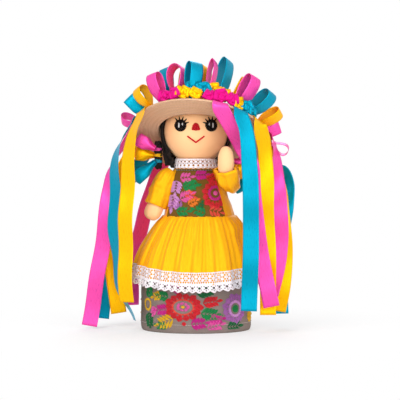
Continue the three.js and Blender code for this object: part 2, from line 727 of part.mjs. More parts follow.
// Flower garland: gathered ribbon flowers on a strip along the edge of the brim
const GARLAND_ROW = 66.6;
const GARLAND_FROM = rad(-33);
const GARLAND_TO = rad(33);
const FLOWERS = 8;
const FLOWER = 4.2; // radius of a flower
const garlandSteps = FLOWERS * 4;
const garland = skin(
  Array.from({ length: garlandSteps + 1 }, (_, i) => {
    const turn = lerp(GARLAND_FROM, GARLAND_TO, i / garlandSteps);
    const outward = vec(Math.sin(turn), -Math.cos(turn), 0);
    const radius = FLOWER * (0.74 - 0.26 * Math.cos((2 * Math.PI * FLOWERS * i) / garlandSteps));
    const middle = outward.clone().multiplyScalar(GARLAND_ROW).add(vec(brimMiddle(GARLAND_ROW), 0, 0));
    middle.z = brimHeight(GARLAND_ROW) + HAT_WALL + SEAT + 0.5 + radius;
    return roundRing(middle, outward, vec(0, 0, 1), radius, 8);
  }),
);
hat.add(piece('flower_garland', garland, 'pink', 0.35));
doll.add(hat);

// Streamers: long ribbons that come over the edge of the brim and hang down both sides

// [name, colour, degrees round the brim, path, turn at the foot in degrees]
// Path: [drop below the brim, shift sideways, distance in front of the doll's middle]
const STREAMERS = [
  ['right_streamer_1', 'yellow', -62,
    [[25, -10, 33], [46, -13, 33], [100, -16, 33], [150, -17, 33], [193, -16, 33]], -56],
  ['right_streamer_2', 'blue', -81,
    [[30, -16, 17], [70, -19, 17], [134, -18, 17], [170, -14, 17], [198, -4, 17]], -58],
  ['right_streamer_3', 'pink', -98,
    [[37, -20, -1], [60, -24, -1], [107, -29, 0], [142, -35, 0], [199, -44, 0]], -8],
  ['right_streamer_4', 'yellow', -115,
    [[33, -18, -15], [59, -24, -14], [110, -26, -14], [141, -24, -14], [176, -19, -14]], 8],
  ['right_streamer_5', 'blue', -132,
    [[28, -19, -28], [54, -28, -26], [100, -38, -26], [136, -44, -26], [172, -48, -26]], 0],
  ['right_streamer_6', 'pink', -150,
    [[24, -10, -56], [51, -19, -62], [77, -26, -65], [114, -34, -65], [152, -34, -65]], 20],
  ['left_streamer_1', 'pink', 10,
    [[23, 10, 56], [45, 22, 42], [60, 30, 41], [94, 33, 42], [149, 40, 44], [203, 51, 46]], 0],
  ['left_streamer_2', 'blue', 27.5,
    [[20, 5, 60], [60, 9, 61], [100, 10, 61], [140, 10, 61], [199, 8, 61]], 0],
  ['left_streamer_3', 'yellow', 47,
    [[26, 6, 36], [48, 8, 34], [90, 8, 34], [130, 10, 34], [195, 10, 34]], 0],
  ['left_streamer_4', 'pink', 72,
    [[33, 6, 16], [75, 9, 17], [98, 10, 17], [124, 8, 17], [160, 0, 18]], 0],
  ['left_streamer_5', 'yellow', 94,
    [[20, 11, 3], [50, 14, 3], [101, 15, 3], [136, 12, 3], [164, 7, 3]], 0],
  ['left_streamer_6', 'blue', 115,
    [[13, 13, -14], [27, 21, -12], [54, 23, -12], [106, 20, -12], [156, 19, -12]], 0],
];
const STREAMER_STEPS = 14;
const RIM_GAP = SEAT + 0.3;

STREAMERS.forEach(([name, colour, degrees, path, footTurn]) => {
  const turn = rad(degrees);
  const outward = vec(Math.sin(turn), -Math.cos(turn), 0);
  const rim = outward.clone().multiplyScalar(BRIM + RIM_GAP + RIBBON_THICKNESS / 2);
  rim.add(vec(BRIM_SHIFT, 0, -BRIM_DROOP + HAT_WALL));
  rim.applyMatrix4(hat.matrix);
  const rimTangent = vec(Math.cos(turn), Math.sin(turn), 0).transformDirection(hat.matrix);
  const rimOut = outward.clone().transformDirection(hat.matrix);

  const group = new THREE.Group();
  group.position.copy(rim);
  const fall = vec(0, 0, -1).projectOnPlane(rimTangent);
  const points = [
    vec(0, 0, 0),
    rimOut.clone().multiplyScalar(2.2).addScaledVector(fall, 2.4),
    rimOut.clone().multiplyScalar(3.2).addScaledVector(fall, 6),
    ...path.map(([drop, shift, front]) => vec(shift, -front - rim.y, -drop)),
  ];
  const curve = new THREE.CatmullRomCurve3(points, false, 'centripetal');
  const footAcross = vec(Math.cos(rad(footTurn)), Math.sin(rad(footTurn)), 0);
  if (footAcross.dot(rimTangent) < 0) footAcross.negate();
  const stations = Array.from({ length: STREAMER_STEPS + 1 }, (_, i) => {
    const share = i / STREAMER_STEPS;
    const run = curve.getTangentAt(share);
    const across = rimTangent.clone().lerp(footAcross, THREE.MathUtils.clamp((share - 0.1) * 3.4, 0, 1));
    across.addScaledVector(run, -across.dot(run)).normalize();
    return { point: curve.getPointAt(share), across, normal: run.clone().cross(across).normalize() };
  });
  group.add(piece(name, ribbon(stations), colour, 0.35));
  doll.add(group);
});

export default doll;
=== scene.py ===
"""A standing rag doll in a ribboned straw hat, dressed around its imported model."""
import math

import bpy
import numpy as np
from mathutils import Matrix, Vector, noise


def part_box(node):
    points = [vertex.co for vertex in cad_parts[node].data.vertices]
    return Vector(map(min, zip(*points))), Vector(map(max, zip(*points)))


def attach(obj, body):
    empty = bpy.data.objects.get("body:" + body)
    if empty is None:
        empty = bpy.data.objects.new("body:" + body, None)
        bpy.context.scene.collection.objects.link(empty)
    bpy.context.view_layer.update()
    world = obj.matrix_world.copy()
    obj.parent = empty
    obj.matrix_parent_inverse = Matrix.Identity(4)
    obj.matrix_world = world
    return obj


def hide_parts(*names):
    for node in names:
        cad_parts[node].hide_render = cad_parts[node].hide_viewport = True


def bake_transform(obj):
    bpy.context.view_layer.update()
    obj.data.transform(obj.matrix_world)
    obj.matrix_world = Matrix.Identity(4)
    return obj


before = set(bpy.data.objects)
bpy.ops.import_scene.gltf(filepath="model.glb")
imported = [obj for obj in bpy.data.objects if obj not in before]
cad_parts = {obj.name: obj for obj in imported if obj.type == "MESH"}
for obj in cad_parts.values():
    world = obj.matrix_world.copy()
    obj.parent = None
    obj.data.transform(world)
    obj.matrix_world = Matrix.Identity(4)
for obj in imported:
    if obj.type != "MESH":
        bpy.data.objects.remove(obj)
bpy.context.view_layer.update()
MM = 0.001

# Studio
# A white sweep under wide soft lamps, seen from the front and a little from above,
# with a faint shadow where the doll stands.
VIEW_DISTANCE = 1700
VIEW_RISE = math.radians(2)
VIEW_TARGET = (4.1, 0, 131.7)
VIEW_LENS = 150
WORLD_LIGHT = 0.57  # strength of the white all round, as far as it lights the doll
FLOOR_SIZE = 4000
FLOOR_GLOW = 0.5  # share of the floor's white that no shadow reaches, near the doll
SHADOW_REACH = (100, 260)  # where shadows begin to fade, and where they are gone
FLOOR_WHITE = (0.93, 0.93, 0.94)
# [name, place, size, power in watts]
LAMPS = [
    ("key_lamp", (-620, -900, 900), 700, 7.2),
    ("fill_lamp", (700, -950, 300), 800, 6),
    ("front_lamp", (0, -1400, 60), 900, 6),
    ("back_lamp", (100, 900, 900), 700, 5),
]


class Shade:
    """A value in a node tree. Arithmetic on it adds Math nodes."""

    def __init__(self, tree, socket):
        self.tree = tree
        self.socket = socket

    def math(self, operation, other=0.0, clamp=False):
        node = self.tree.nodes.new("ShaderNodeMath")
        node.operation = operation
        node.use_clamp = clamp
        for socket, value in zip(node.inputs, (self, other)):
            plug(self.tree, value, socket)
        return Shade(self.tree, node.outputs[0])

    def __add__(self, other):
        return self.math("ADD", other)

    def __sub__(self, other):
        return self.math("SUBTRACT", other)

    def __rsub__(self, other):
        return self * -1 + other

    def __mul__(self, other):
        return self.math("MULTIPLY", other)

    def limited(self):
        """The value held between 0 and 1."""
        return self.math("ADD", 0, clamp=True)

    __radd__ = __add__
    __rmul__ = __mul__


def plug(tree, value, socket):
    if isinstance(value, Shade):
        tree.links.new(value.socket, socket)
    elif socket.type == "RGBA":
        socket.default_value = (*value, 1)
    else:
        socket.default_value = value


def pick(sockets, key):
    return next(s for s in sockets if key in (s.identifier, s.name))


class Finish:
    """A material, or the world, and the nodes that are added to it."""

    def __init__(self, owner, shader="ShaderNodeBsdfPrincipled", **fixed):
        owner.use_nodes = True
        self.owner = owner
        self.tree = owner.node_tree
        self.shader = next((n for n in self.tree.nodes if n.bl_idname == shader), None)
        for name, value in fixed.items():
            label = name.replace("_", " ").title().replace("Ior", "IOR")
            plug(self.tree, value, self.shader.inputs[label])

    def add(self, kind, settings=None, sockets=None, out=0):
        node = self.tree.nodes.new(kind)
        for name, value in (settings or {}).items():
            setattr(node, name, value)
        for name, value in (sockets or {}).items():
            plug(self.tree, value, pick(node.inputs, name))
        found = node.outputs[out] if isinstance(out, int) else pick(node.outputs, out)
        return Shade(self.tree, found)

    def mix(self, share, a, b):
        sockets = {"Factor_Float": share, "A_Color": a, "B_Color": b}
        return self.add("ShaderNodeMix", {"data_type": "RGBA"}, sockets, "Result_Color")

    def noise(self, where, scale, detail=2.0):
        sockets = {"Vector": where, "Scale": scale, "Detail": detail}
        return self.add("ShaderNodeTexNoise", None, sockets)

    def axes(self, vector):
        return [self.add("ShaderNodeSeparateXYZ", None, {"Vector": vector}, i) for i in range(3)]

    def place(self):
        return self.add("ShaderNodeTexCoord", out="Object")

    def threads(self):
        """Lengths along the cloth, in mm."""
        return self.add("ShaderNodeUVMap")

    def feed(self, name, value):
        plug(self.tree, value, self.shader.inputs[name])

    def bump(self, height, depth):
        """Relief of that depth, in mm."""
        sockets = {"Height": height, "Distance": depth * MM, "Strength": 1.0}
        self.feed("Normal", self.add("ShaderNodeBump", None, sockets))


def link(obj):
    bpy.context.scene.collection.objects.link(obj)
    return obj


def lamp(name, place, size, power):
    light = bpy.data.lights.new(name, "AREA")
    light.size = size * MM
    light.energy = power
    obj = link(bpy.data.objects.new(name, light))
    obj.location = Vector(place) * MM
    obj.rotation_euler = (Vector(VIEW_TARGET) * MM - obj.location).to_track_quat("-Z", "Y").to_euler()


for row in LAMPS:
    lamp(*row)

bpy.context.scene.view_settings.view_transform = "Standard"
bpy.context.scene.world = bpy.data.worlds.new("studio")
world = Finish(bpy.context.scene.world, "ShaderNodeBackground")


def seen(finish):
    """1 on rays that show a surface, 0 on those that only light it."""
    direct, mirrored, through = (finish.add("ShaderNodeLightPath", out=f"Is {kind} Ray")
                                 for kind in ("Camera", "Glossy", "Transmission"))
    return (direct + mirrored + through).limited()


world.feed("Color", (1, 1, 1))
world.feed("Strength", seen(world) * (1 - WORLD_LIGHT) + WORLD_LIGHT)

floor_mesh = bpy.data.meshes.new("floor")
half = FLOOR_SIZE * MM / 2
floor_mesh.from_pydata([(-half, -half, 0), (half, -half, 0), (half, half, 0), (-half, half, 0)],
                       [], [(0, 1, 2, 3)])
floor = link(bpy.data.objects.new("floor", floor_mesh))
floor_finish = Finish(bpy.data.materials.new("floor_white"), base_color=FLOOR_WHITE, roughness=0.9)
floor_x, floor_y, _ = floor_finish.axes(floor_finish.place())
away = (floor_x * floor_x + floor_y * floor_y).math("SQRT") * (1 / MM) - SHADOW_REACH[0]
faded = (away * (1 / (SHADOW_REACH[1] - SHADOW_REACH[0]))).limited()
floor_shaders = {
    "Fac": seen(floor_finish) * (faded * (1 - FLOOR_GLOW) + FLOOR_GLOW),
    "Shader": Shade(floor_finish.tree, floor_finish.shader.outputs[0]),
    "Shader_001": floor_finish.add("ShaderNodeEmission"),
}
floor_surface = floor_finish.add("ShaderNodeMixShader", None, floor_shaders)
plug(floor_finish.tree, floor_surface, floor_finish.tree.nodes["Material Output"].inputs["Surface"])
floor.data.materials.append(floor_finish.owner)

camera = link(bpy.data.objects.new("camera", bpy.data.cameras.new("camera")))
camera.data.lens = VIEW_LENS
towards_camera = Vector((0, -math.cos(VIEW_RISE), math.sin(VIEW_RISE)))
camera.location = (Vector(VIEW_TARGET) + VIEW_DISTANCE * towards_camera) * MM
camera.rotation_euler = (math.pi / 2 - VIEW_RISE, 0, 0)
bpy.context.scene.camera = camera

# Weighted column
# A card tube with a card lid stands on a card disc, with a bag of sand in it, and a stick
# runs up through the body into the head. All are hidden in the clothes and keep their shapes.
CARD = (0.42, 0.30, 0.18)
SAND_CLOTH = (0.62, 0.54, 0.40)
DOWEL_WOOD = (0.62, 0.43, 0.23)
GRAINS = 900  # in a metre


def plain_finish(name, colour, dark, stretch, relief):
    """A matt finish whose grain has a darker share of its colour. A stretch below 1 draws the
    grain out along the height."""
    made = Finish(bpy.data.materials.new(name), roughness=0.85)
    x, y, z = made.axes(made.place())
    where = made.add("ShaderNodeCombineXYZ", None, {"X": x, "Y": y, "Z": z * stretch})
    grain = made.noise(where, GRAINS, 4)
    made.feed("Base Color", made.mix(grain, [c * dark for c in colour], colour))
    made.bump(grain, relief)
    return made.owner


def paint(obj, material):
    obj.data.materials.clear()
    obj.data.materials.append(material)
    return obj


brown_card = plain_finish("brown_card", CARD, dark=0.7, stretch=1.0, relief=0.15)
sand_cloth = plain_finish("sand_cloth", SAND_CLOTH, dark=0.75, stretch=1.0, relief=0.3)
dowel_wood = plain_finish("dowel_wood", DOWEL_WOOD, dark=0.6, stretch=0.06, relief=0.1)
for node in ("base_disc", "core_tube", "tube_lid"):
    paint(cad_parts[node], brown_card)
paint(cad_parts["ballast_bag"], sand_cloth)
paint(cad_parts["neck_dowel"], dowel_wood)

# Underskirt
# A straight skirt of taupe net over a lining, stretched round the column with a little slack, so
# that it creases, and turned in under its foot. Its flowers and its hem follow below.
TAUPE = (0.33, 0.265, 0.235)
TAUPE_DARK = (0.17, 0.13, 0.115)
skirt_low, skirt_high = [np.array(corner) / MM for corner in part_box("underskirt")]
SKIRT_HALF = (skirt_high - skirt_low)[:2] / 2
SKIRT_TOP = skirt_high[2]
SKIRT_ROWS = 40
SKIRT_COLUMNS = 160
HEM_ROLL = 4.0
HEM_TUCK = 0.975  # share of its width at the turned edge
HIP_TAPER = 0.87  # share of its width at the top
HIP_RISE = 11
SKIRT_SLACK = 0.5
SKIRT_CREASE = 1.6
CREASE_START = 6  # height where the creases are full
NET_PITCH = 0.9
CLOTH = 0.6


def mesh_piece(name, points, faces, uv=None):
    """An object at the origin from points in mm, smooth, with a pair of lengths for each corner."""
    mesh = bpy.data.meshes.new(name)
    mesh.from_pydata((np.asarray(points) * MM).tolist(), [], faces)
    mesh.polygons.foreach_set("use_smooth", [True] * len(mesh.polygons))
    if uv is not None:
        layer = mesh.uv_layers.new(name="threads")
        layer.data.foreach_set("uv", np.asarray(uv, np.float32).ravel())
    mesh.update()
    return link(bpy.data.objects.new(name, mesh))


def lengths(grid):
    """Mean length along a grid's second axis, up to each of its points."""
    steps = np.linalg.norm(np.diff(grid, axis=1), axis=2).mean(axis=0)
    return np.concatenate([[0], np.cumsum(steps)])


def woven(patch, closed, base=0):
    """Faces over a grid of points, numbered from base, and a pair of lengths for each corner."""
    rows, columns = patch.shape[:2]
    across = lengths(np.concatenate([patch, patch[:, :1]], axis=1) if closed else patch)
    along = lengths(patch.transpose(1, 0, 2))
    faces, uv = [], []
    for r in range(rows - 1):
        low, high = base + r * columns, base + (r + 1) * columns
        for c in range(columns if closed else columns - 1):
            d = (c + 1) % columns
            faces.append((low + c, low + d, high + d, high + c))
            uv += [(across[c], along[r]), (across[c + 1], along[r]),
                   (across[c + 1], along[r + 1]), (across[c], along[r + 1])]
    return faces, uv


def thickened(obj, thickness, offset):
    """A sheet given its thickness in mm, behind its face at an offset of -1 and both ways at 0."""
    shell = obj.modifiers.new("thickness", "SOLIDIFY")
    shell.thickness = thickness * MM
    shell.offset = offset
    return obj


def cloth(name, grid, material, closed=False, thickness=CLOTH, offset=-1.0):
    """A sheet over a grid of points in mm, rows upwards and columns to the doll's left in front.
    A list of grids makes one piece of several sheets."""
    points, faces, uv = [], [], []
    for patch in grid if isinstance(grid, list) else [grid]:
        more_faces, more_uv = woven(patch, closed, len(points))
        points += list(patch.reshape(-1, 3))
        faces += more_faces
        uv += more_uv
    return thickened(paint(mesh_piece(name, points, faces, uv), material), thickness, offset)


def oval(turn, half_width, half_depth, x=0.0):
    """Points round a level oval; turn 0 is the doll's front and it grows to the doll's left."""
    return np.stack([x + half_width * np.sin(turn), -half_depth * np.cos(turn)], axis=-1)


def turns(columns):
    """Angles that are evenly spaced round a full turn."""
    return np.arange(columns) * 2 * math.pi / columns


def bumps(point, scale, seed=0.0):
    """Smooth noise from -1 to 1 at a point in mm."""
    return noise.noise(Vector(point) / scale + Vector((seed, seed * 1.7, seed * 2.3)))


def skirt_share(z):
    """Width of the column at a height, as a share of its full width."""
    return np.interp(z, [0, HEM_ROLL * 0.3, HEM_ROLL, SKIRT_TOP - HIP_RISE, SKIRT_TOP],
                     [HEM_TUCK, 0.99, 1, 1, HIP_TAPER])


def on_skirt(turn, z, lift=0.0):
    """A point on the outside of the underskirt."""
    flat = oval(np.array(turn), *(SKIRT_HALF * skirt_share(z) + lift))
    slack = SKIRT_SLACK * bumps((*flat, z * 0.5), 16)
    crease = SKIRT_CREASE * max(0, bumps((*flat, z * 0.6), 9, 5)) ** 2
    out = (slack + crease) * min(1, z / CREASE_START)
    return (*(flat * (1 + out / SKIRT_HALF[0])), z)


def net_finish(name, colour, dark, mesh_pitch):
    """Fine net over a darker lining."""
    made = Finish(bpy.data.materials.new(name), roughness=0.75, specular_ior_level=0.2)
    u, v, _ = made.axes(made.threads())
    turn = 2 * math.pi / mesh_pitch
    net = (u * turn).math("SINE") * (v * turn).math("SINE")
    cloudy = made.noise(made.place(), 120, 3)
    tone = (net * 0.35 + 0.35 + cloudy * 0.4).limited()
    made.feed("Base Color", made.mix(tone, dark, colour))
    made.bump(net, 0.12)
    return made.owner


roll_heights = HEM_ROLL * np.array([0, 0.3, 0.6])
skirt_heights = np.concatenate([roll_heights, np.linspace(HEM_ROLL, SKIRT_TOP, SKIRT_ROWS)])
skirt_grid = np.array([[on_skirt(t, z) for t in turns(SKIRT_COLUMNS)] for z in skirt_heights])
taupe_net = net_finish("taupe_net", TAUPE, TAUPE_DARK, NET_PITCH)
underskirt = cloth("underskirt_cloth", skirt_grid, taupe_net, True)
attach(underskirt, "stand")
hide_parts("underskirt")

# Embroidery on the underskirt
# Flowers, leaves and sprigs of coloured thread, worked in satin stitch: each shape is filled
# with threads that lie side by side, a little proud of the net. A row of stitches holds the hem.
THREAD = 0.34  # radius of a strand
THREAD_PITCH = 0.64
LONGEST_STITCH = 7.5
STITCH_RISE = (0.5, 0.06)  # at the middle of a stitch: its least height, and more for each mm of it
STITCH_SPOTS = (0, 0.3, 0.7, 1)
STITCH_LEAN = 60  # degrees between a leaf and its stitches
LEAF_LENGTH = 0.38  # share of its sprig's length
LEAF_WIDTH = 0.92  # share of the width that the sprig is drawn with
RING_STITCHES = 18
RED = (0.78, 0.022, 0.035)
CORAL = (0.95, 0.10, 0.06)
MAGENTA = (0.70, 0.02, 0.30)
ROSE = (0.92, 0.13, 0.46)
LILAC = (0.50, 0.17, 0.52)
PALE_LILAC = (0.82, 0.38, 0.80)
GREEN = (0.01, 0.30, 0.075)
DARK_GREEN = (0.008, 0.17, 0.05)
GOLD = (0.95, 0.56, 0.02)
ORANGE = (0.95, 0.24, 0.02)


def thread_tree():
    """Nodes that turn lines into round threads of a given radius."""
    tree = bpy.data.node_groups.new("round_threads", "GeometryNodeTree")
    face = tree.interface
    face.new_socket("Geometry", in_out="INPUT", socket_type="NodeSocketGeometry")
    for name, kind in (("Radius", "NodeSocketFloat"), ("Sides", "NodeSocketInt"),
                       ("Material", "NodeSocketMaterial")):
        face.new_socket(name, in_out="INPUT", socket_type=kind)
    face.new_socket("Geometry", in_out="OUTPUT", socket_type="NodeSocketGeometry")
    nodes = {kind: tree.nodes.new(kind) for kind in (
        "NodeGroupInput", "GeometryNodeMeshToCurve", "GeometryNodeCurvePrimitiveCircle",
        "GeometryNodeCurveToMesh", "GeometryNodeSetShadeSmooth", "GeometryNodeRealizeInstances",
        "GeometryNodeSetMaterial", "NodeGroupOutput")}
    start = nodes["NodeGroupInput"].outputs
    circle = nodes["GeometryNodeCurvePrimitiveCircle"]
    sweep = nodes["GeometryNodeCurveToMesh"]
    sweep.inputs["Fill Caps"].default_value = True
    chain = [nodes["GeometryNodeMeshToCurve"], sweep, nodes["GeometryNodeSetShadeSmooth"],
             nodes["GeometryNodeRealizeInstances"], nodes["GeometryNodeSetMaterial"],
             nodes["NodeGroupOutput"]]
    tree.links.new(start["Geometry"], chain[0].inputs[0])
    for a, b in zip(chain, chain[1:]):
        tree.links.new(a.outputs[0], b.inputs[0])
    tree.links.new(start["Radius"], circle.inputs["Radius"])
    tree.links.new(start["Sides"], circle.inputs["Resolution"])
    tree.links.new(circle.outputs[0], sweep.inputs["Profile Curve"])
    tree.links.new(start["Material"], nodes["GeometryNodeSetMaterial"].inputs["Material"])
    return tree


ROUND_THREADS = thread_tree()


def baked(obj):
    """The piece with its nodes or modifiers worked out, as a plain mesh."""
    evaluated = obj.evaluated_get(bpy.context.evaluated_depsgraph_get())
    mesh = bpy.data.meshes.new_from_object(evaluated)
    obj.modifiers.clear()
    obj.data = mesh
    return obj


def threads(name, lines, radius, material, sides=5):
    """Round threads along lines of points in mm. Each line is (points, colour)."""
    points, edges, colours = [], [], []
    for line, colour in lines:
        edges += [(len(points) + i, len(points) + i + 1) for i in range(len(line) - 1)]
        points += [tuple(np.asarray(p) * MM) for p in line]
        colours += [(*colour, 1)] * len(line)
    mesh = bpy.data.meshes.new(name)
    mesh.from_pydata(points, edges, [])
    dye = mesh.attributes.new("dye", "FLOAT_COLOR", "POINT")
    dye.data.foreach_set("color", np.array(colours, np.float32).ravel())
    obj = link(bpy.data.objects.new(name, mesh))
    modifier = obj.modifiers.new("threads", "NODES")
    modifier.node_group = ROUND_THREADS
    inputs = {s.name: s.identifier for s in ROUND_THREADS.interface.items_tree if s.in_out == "INPUT"}
    modifier[inputs["Radius"]] = radius * MM
    modifier[inputs["Sides"]] = sides
    modifier[inputs["Material"]] = material
    return baked(obj)


def thread_finish(name, rough, gloss):
    """Twisted thread in the colour that each strand was dyed."""
    made = Finish(bpy.data.materials.new(name), roughness=rough, specular_ior_level=gloss)
    dye = made.add("ShaderNodeAttribute", {"attribute_name": "dye"}, out="Color")
    twist = made.noise(made.place(), 1500, 2)
    dark = made.add("ShaderNodeVectorMath", {"operation": "SCALE"}, {"Vector": dye, "Scale": 0.7})
    made.feed("Base Color", made.mix(twist, dark, dye))
    made.bump(twist, 0.08)
    return made.owner


STRANDS = thread_finish("embroidery_thread", 0.45, 0.25)


def filled(outline, angle):
    """Stitches across an outline of [x, y] points, side by side at an angle in degrees."""
    turn = math.radians(angle)
    axis = np.array([[math.cos(turn), math.sin(turn)], [-math.sin(turn), math.cos(turn)]])
    shape = np.asarray(outline) @ axis.T
    ahead = np.roll(shape, -1, axis=0)
    stitches = []
    for level in np.arange(shape[:, 1].min() + THREAD_PITCH / 2, shape[:, 1].max(), THREAD_PITCH):
        crossing = (shape[:, 1] > level) != (ahead[:, 1] > level)
        a, b = shape[crossing], ahead[crossing]
        xs = np.sort(a[:, 0] + (level - a[:, 1]) * (b[:, 0] - a[:, 0]) / (b[:, 1] - a[:, 1]))
        for x0, x1 in zip(xs[::2], xs[1::2]):
            parts = max(1, math.ceil((x1 - x0) / LONGEST_STITCH))
            ends = np.linspace(x0, x1, parts + 1)
            for e0, e1 in zip(ends, ends[1:]):
                stitches.append(np.array([(e0, level), (e1, level)]) @ axis)
    return stitches


def petal(length, width, angle, at, tip=0.55):
    """Outline of a leaf or petal that leaves a point at an angle in degrees and is widest at a
    share of its length, the tip."""
    share = np.linspace(0, 1, 9)
    swell = np.sin(math.pi * share ** (math.log(0.5) / math.log(tip)))
    side = np.concatenate([np.stack([share * length, swell * width / 2], 1),
                           np.stack([share * length, -swell * width / 2], 1)[::-1][1:-1]])
    turn = math.radians(angle)
    spin = np.array([[math.cos(turn), -math.sin(turn)], [math.sin(turn), math.cos(turn)]])
    return side @ spin.T + np.asarray(at)


def disc(half_width, half_height, at):
    turn = turns(48)
    return np.stack([half_width * np.cos(turn), half_height * np.sin(turn)], 1) + np.asarray(at)


def leafy(at, angle, length, width, count, spread):
    """Leaves in pairs along a stem: (outline, stitch angle) for each."""
    turn = math.radians(angle)
    along = np.array([math.cos(turn), math.sin(turn)])
    leaf = length * LEAF_LENGTH
    wide = width * LEAF_WIDTH
    stem = length - leaf
    leaves = [(petal(leaf, wide, angle, np.asarray(at) + along * stem), angle + STITCH_LEAN)]
    for i in range(count):
        foot = np.asarray(at) + along * stem * (i + 0.2) / count
        for side in (-1, 1):
            lean = angle + side * spread
            leaves.append((petal(leaf * (1.1 - 0.3 * i / count), wide, lean, foot), lean + STITCH_LEAN))
    return leaves


def flower(at, half_width, half_height, petals):
    """Petals, long and short by turns, round an open middle: (outline, stitch angle) for each."""
    wide = 0.84 * 2 * math.pi * math.sqrt(half_width * half_height) / petals
    made = []
    for i in range(petals):
        turn = 2 * math.pi * i / petals
        out = np.array([half_width * math.cos(turn), half_height * math.sin(turn)])
        lean = math.degrees(math.atan2(out[1], out[0]))
        long = np.linalg.norm(out) * (0.51 if i % 2 else 0.58)
        made.append((petal(long, wide, lean, np.asarray(at) + out * 0.42, 0.62), lean))
    return made


def ring(at, half_width, half_height, width):
    """Blocks of stitches round a ring whose width is a share of it: (outline, stitch angle) for each."""
    made = []
    for i in range(RING_STITCHES):
        t0, t1 = (2 * math.pi * (i + k) / RING_STITCHES for k in (0, 1))
        corners = [(half_width * r * math.cos(t), half_height * r * math.sin(t))
                   for r, t in ((1, t0), (1, t1), (1 - width, t1), (1 - width, t0))]
        made.append((np.array(corners) + np.asarray(at), math.degrees((t0 + t1) / 2)))
    return made


def worked(shapes, colour, surface):
    """Threads over a list of (outline, stitch angle), laid on a surface of [x, y] lengths in mm."""
    lines = []
    for outline, angle in shapes:
        for start, end in filled(outline, angle):
            shade = 0.88 + 0.24 * bumps((*(start * 3), 0), 1.0)
            rise = STITCH_RISE[0] + STITCH_RISE[1] * np.linalg.norm(end - start)
            line = [surface(*(start + (end - start) * s), THREAD * 0.2 + rise * 4 * s * (1 - s))
                    for s in STITCH_SPOTS]
            lines.append((line, [c * shade for c in colour]))
    return lines


def skirt_surface(x, z, lift):
    """Lengths round the skirt from its front, and heights, to a point just off the net."""
    return on_skirt(x / SKIRT_HALF.mean(), np.clip(z, HEM_ROLL, SKIRT_TOP), lift)


def skirt_flowers(shift):
    """The pattern of one face of the skirt, moved round it by a length in mm."""
    def at(x, z):
        return (x + shift, z)

    shapes = [
        (flower(at(-12, 26.5), 19.5, 15, 14), RED),
        (ring(at(-12, 26.5), 11, 8.2, 0.16), CORAL),
        (flower(at(-12, 26.8), 6.6, 4.6, 7), ROSE),
        ([(disc(1.6, 1.4, at(-12, 26.8)), 0)], GOLD),
        ([(disc(2.0, 1.8, at(-11, 9.8)), 0)], RED),
        (leafy(at(-34, 38.5), 196, 15, 3, 3, 50), GOLD),
        (leafy(at(-26, 36), 170, 17, 3.4, 3, 46), GREEN),
        (leafy(at(-26, 24), 186, 19, 3, 4, 50), MAGENTA),
        (leafy(at(-21, 14.5), 200, 24, 3, 4, 48), GOLD),
        (leafy(at(-28, 5), 168, 16, 2.8, 3, 50), GREEN),
        (leafy(at(-5, 9.5), 6, 20, 3, 4, 50), MAGENTA),
        (leafy(at(10, 5.5), 14, 20, 2.8, 4, 50), ROSE),
        (leafy(at(6, 30.5), 8, 20, 3.2, 4, 42), RED),
        (leafy(at(4, 20.5), -6, 22, 3.4, 4, 44), GREEN),
        (leafy(at(0, 40.5), 12, 22, 3.4, 4, 44), DARK_GREEN),
        (leafy(at(-13, 43), 160, 16, 3, 3, 46), MAGENTA),
        (leafy(at(12, 14), 4, 18, 3, 4, 48), MAGENTA),
        (leafy(at(-42, 26), 250, 12, 3, 3, 48), ROSE),
        (flower(at(40, 24), 15.5, 16.5, 13), LILAC),
        (ring(at(40, 24), 8.2, 8.6, 0.3), PALE_LILAC),
        ([(disc(3.6, 3.8, at(40, 24)), 40)], GREEN),
        (leafy(at(30, 6), 2, 22, 3.2, 4, 46), DARK_GREEN),
        (leafy(at(54, 42), 10, 17, 3.4, 3, 44), GREEN),
        (leafy(at(-51, 34), 84, 18, 3.6, 3, 46), GREEN),
        (ring(at(-53, 27.5), 5.6, 6.4, 0.3), GOLD),
        (leafy(at(-51, 20), -84, 20, 3.6, 4, 46), DARK_GREEN),
        (leafy(at(60, 30), 0, 18, 3, 4, 46), MAGENTA),
        (leafy(at(60, 13), 12, 18, 3, 4, 46), GOLD),
    ]
    return [line for shape, colour in shapes for line in worked(shape, colour, skirt_surface)]


half_round = math.pi * SKIRT_HALF.mean()
skirt_lines = skirt_flowers(0) + skirt_flowers(half_round)
skirt_threads = threads("skirt_embroidery", skirt_lines, THREAD, STRANDS)
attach(skirt_threads, "stand")

HEM_LINE = 8.6
HEM_STITCH = 2.6
HEM_THREAD = 0.22
HEM_COLOUR = (0.62, 0.55, 0.50)
HEM_ARCH = [(0.08, 0), (0.3, 0.28), (0.5, 0.34), (0.7, 0.28), (0.92, 0)]  # [share of a stitch, rise]
hem_count = round(2 * half_round / HEM_STITCH)
hem_lines = []
for i in range(hem_count):
    stitch = [on_skirt(2 * math.pi * (i + share) / hem_count, HEM_LINE, rise) for share, rise in HEM_ARCH]
    hem_lines.append((stitch, HEM_COLOUR))
hem_threads = threads("skirt_hem_stitches", hem_lines, HEM_THREAD, STRANDS)
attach(hem_threads, "stand")

# Torso
# A bag of muslin stuffed with wadding, which swells to the hips under the skirts and narrows to
# the neck. The clothes are sewn to it.
MUSLIN = (0.72, 0.62, 0.46)
MUSLIN_DARK = (0.5, 0.41, 0.29)
WAIST = 115
SHOULDER = 161
# [height, x of the middle, half width, half depth]
BODY = [
    (64.8, 0, 30, 24),
    (70.5, 0, 35, 29),
    (103, 2.8, 36, 30),
    (WAIST, 3.5, 35, 29),
    (138, 2.1, 28.6, 23.5),
    (SHOULDER, 0.5, 21, 17),
    (166, 0, 18, 15),
    (169, 0, 13, 12),
]
BODY_COLUMNS = 96


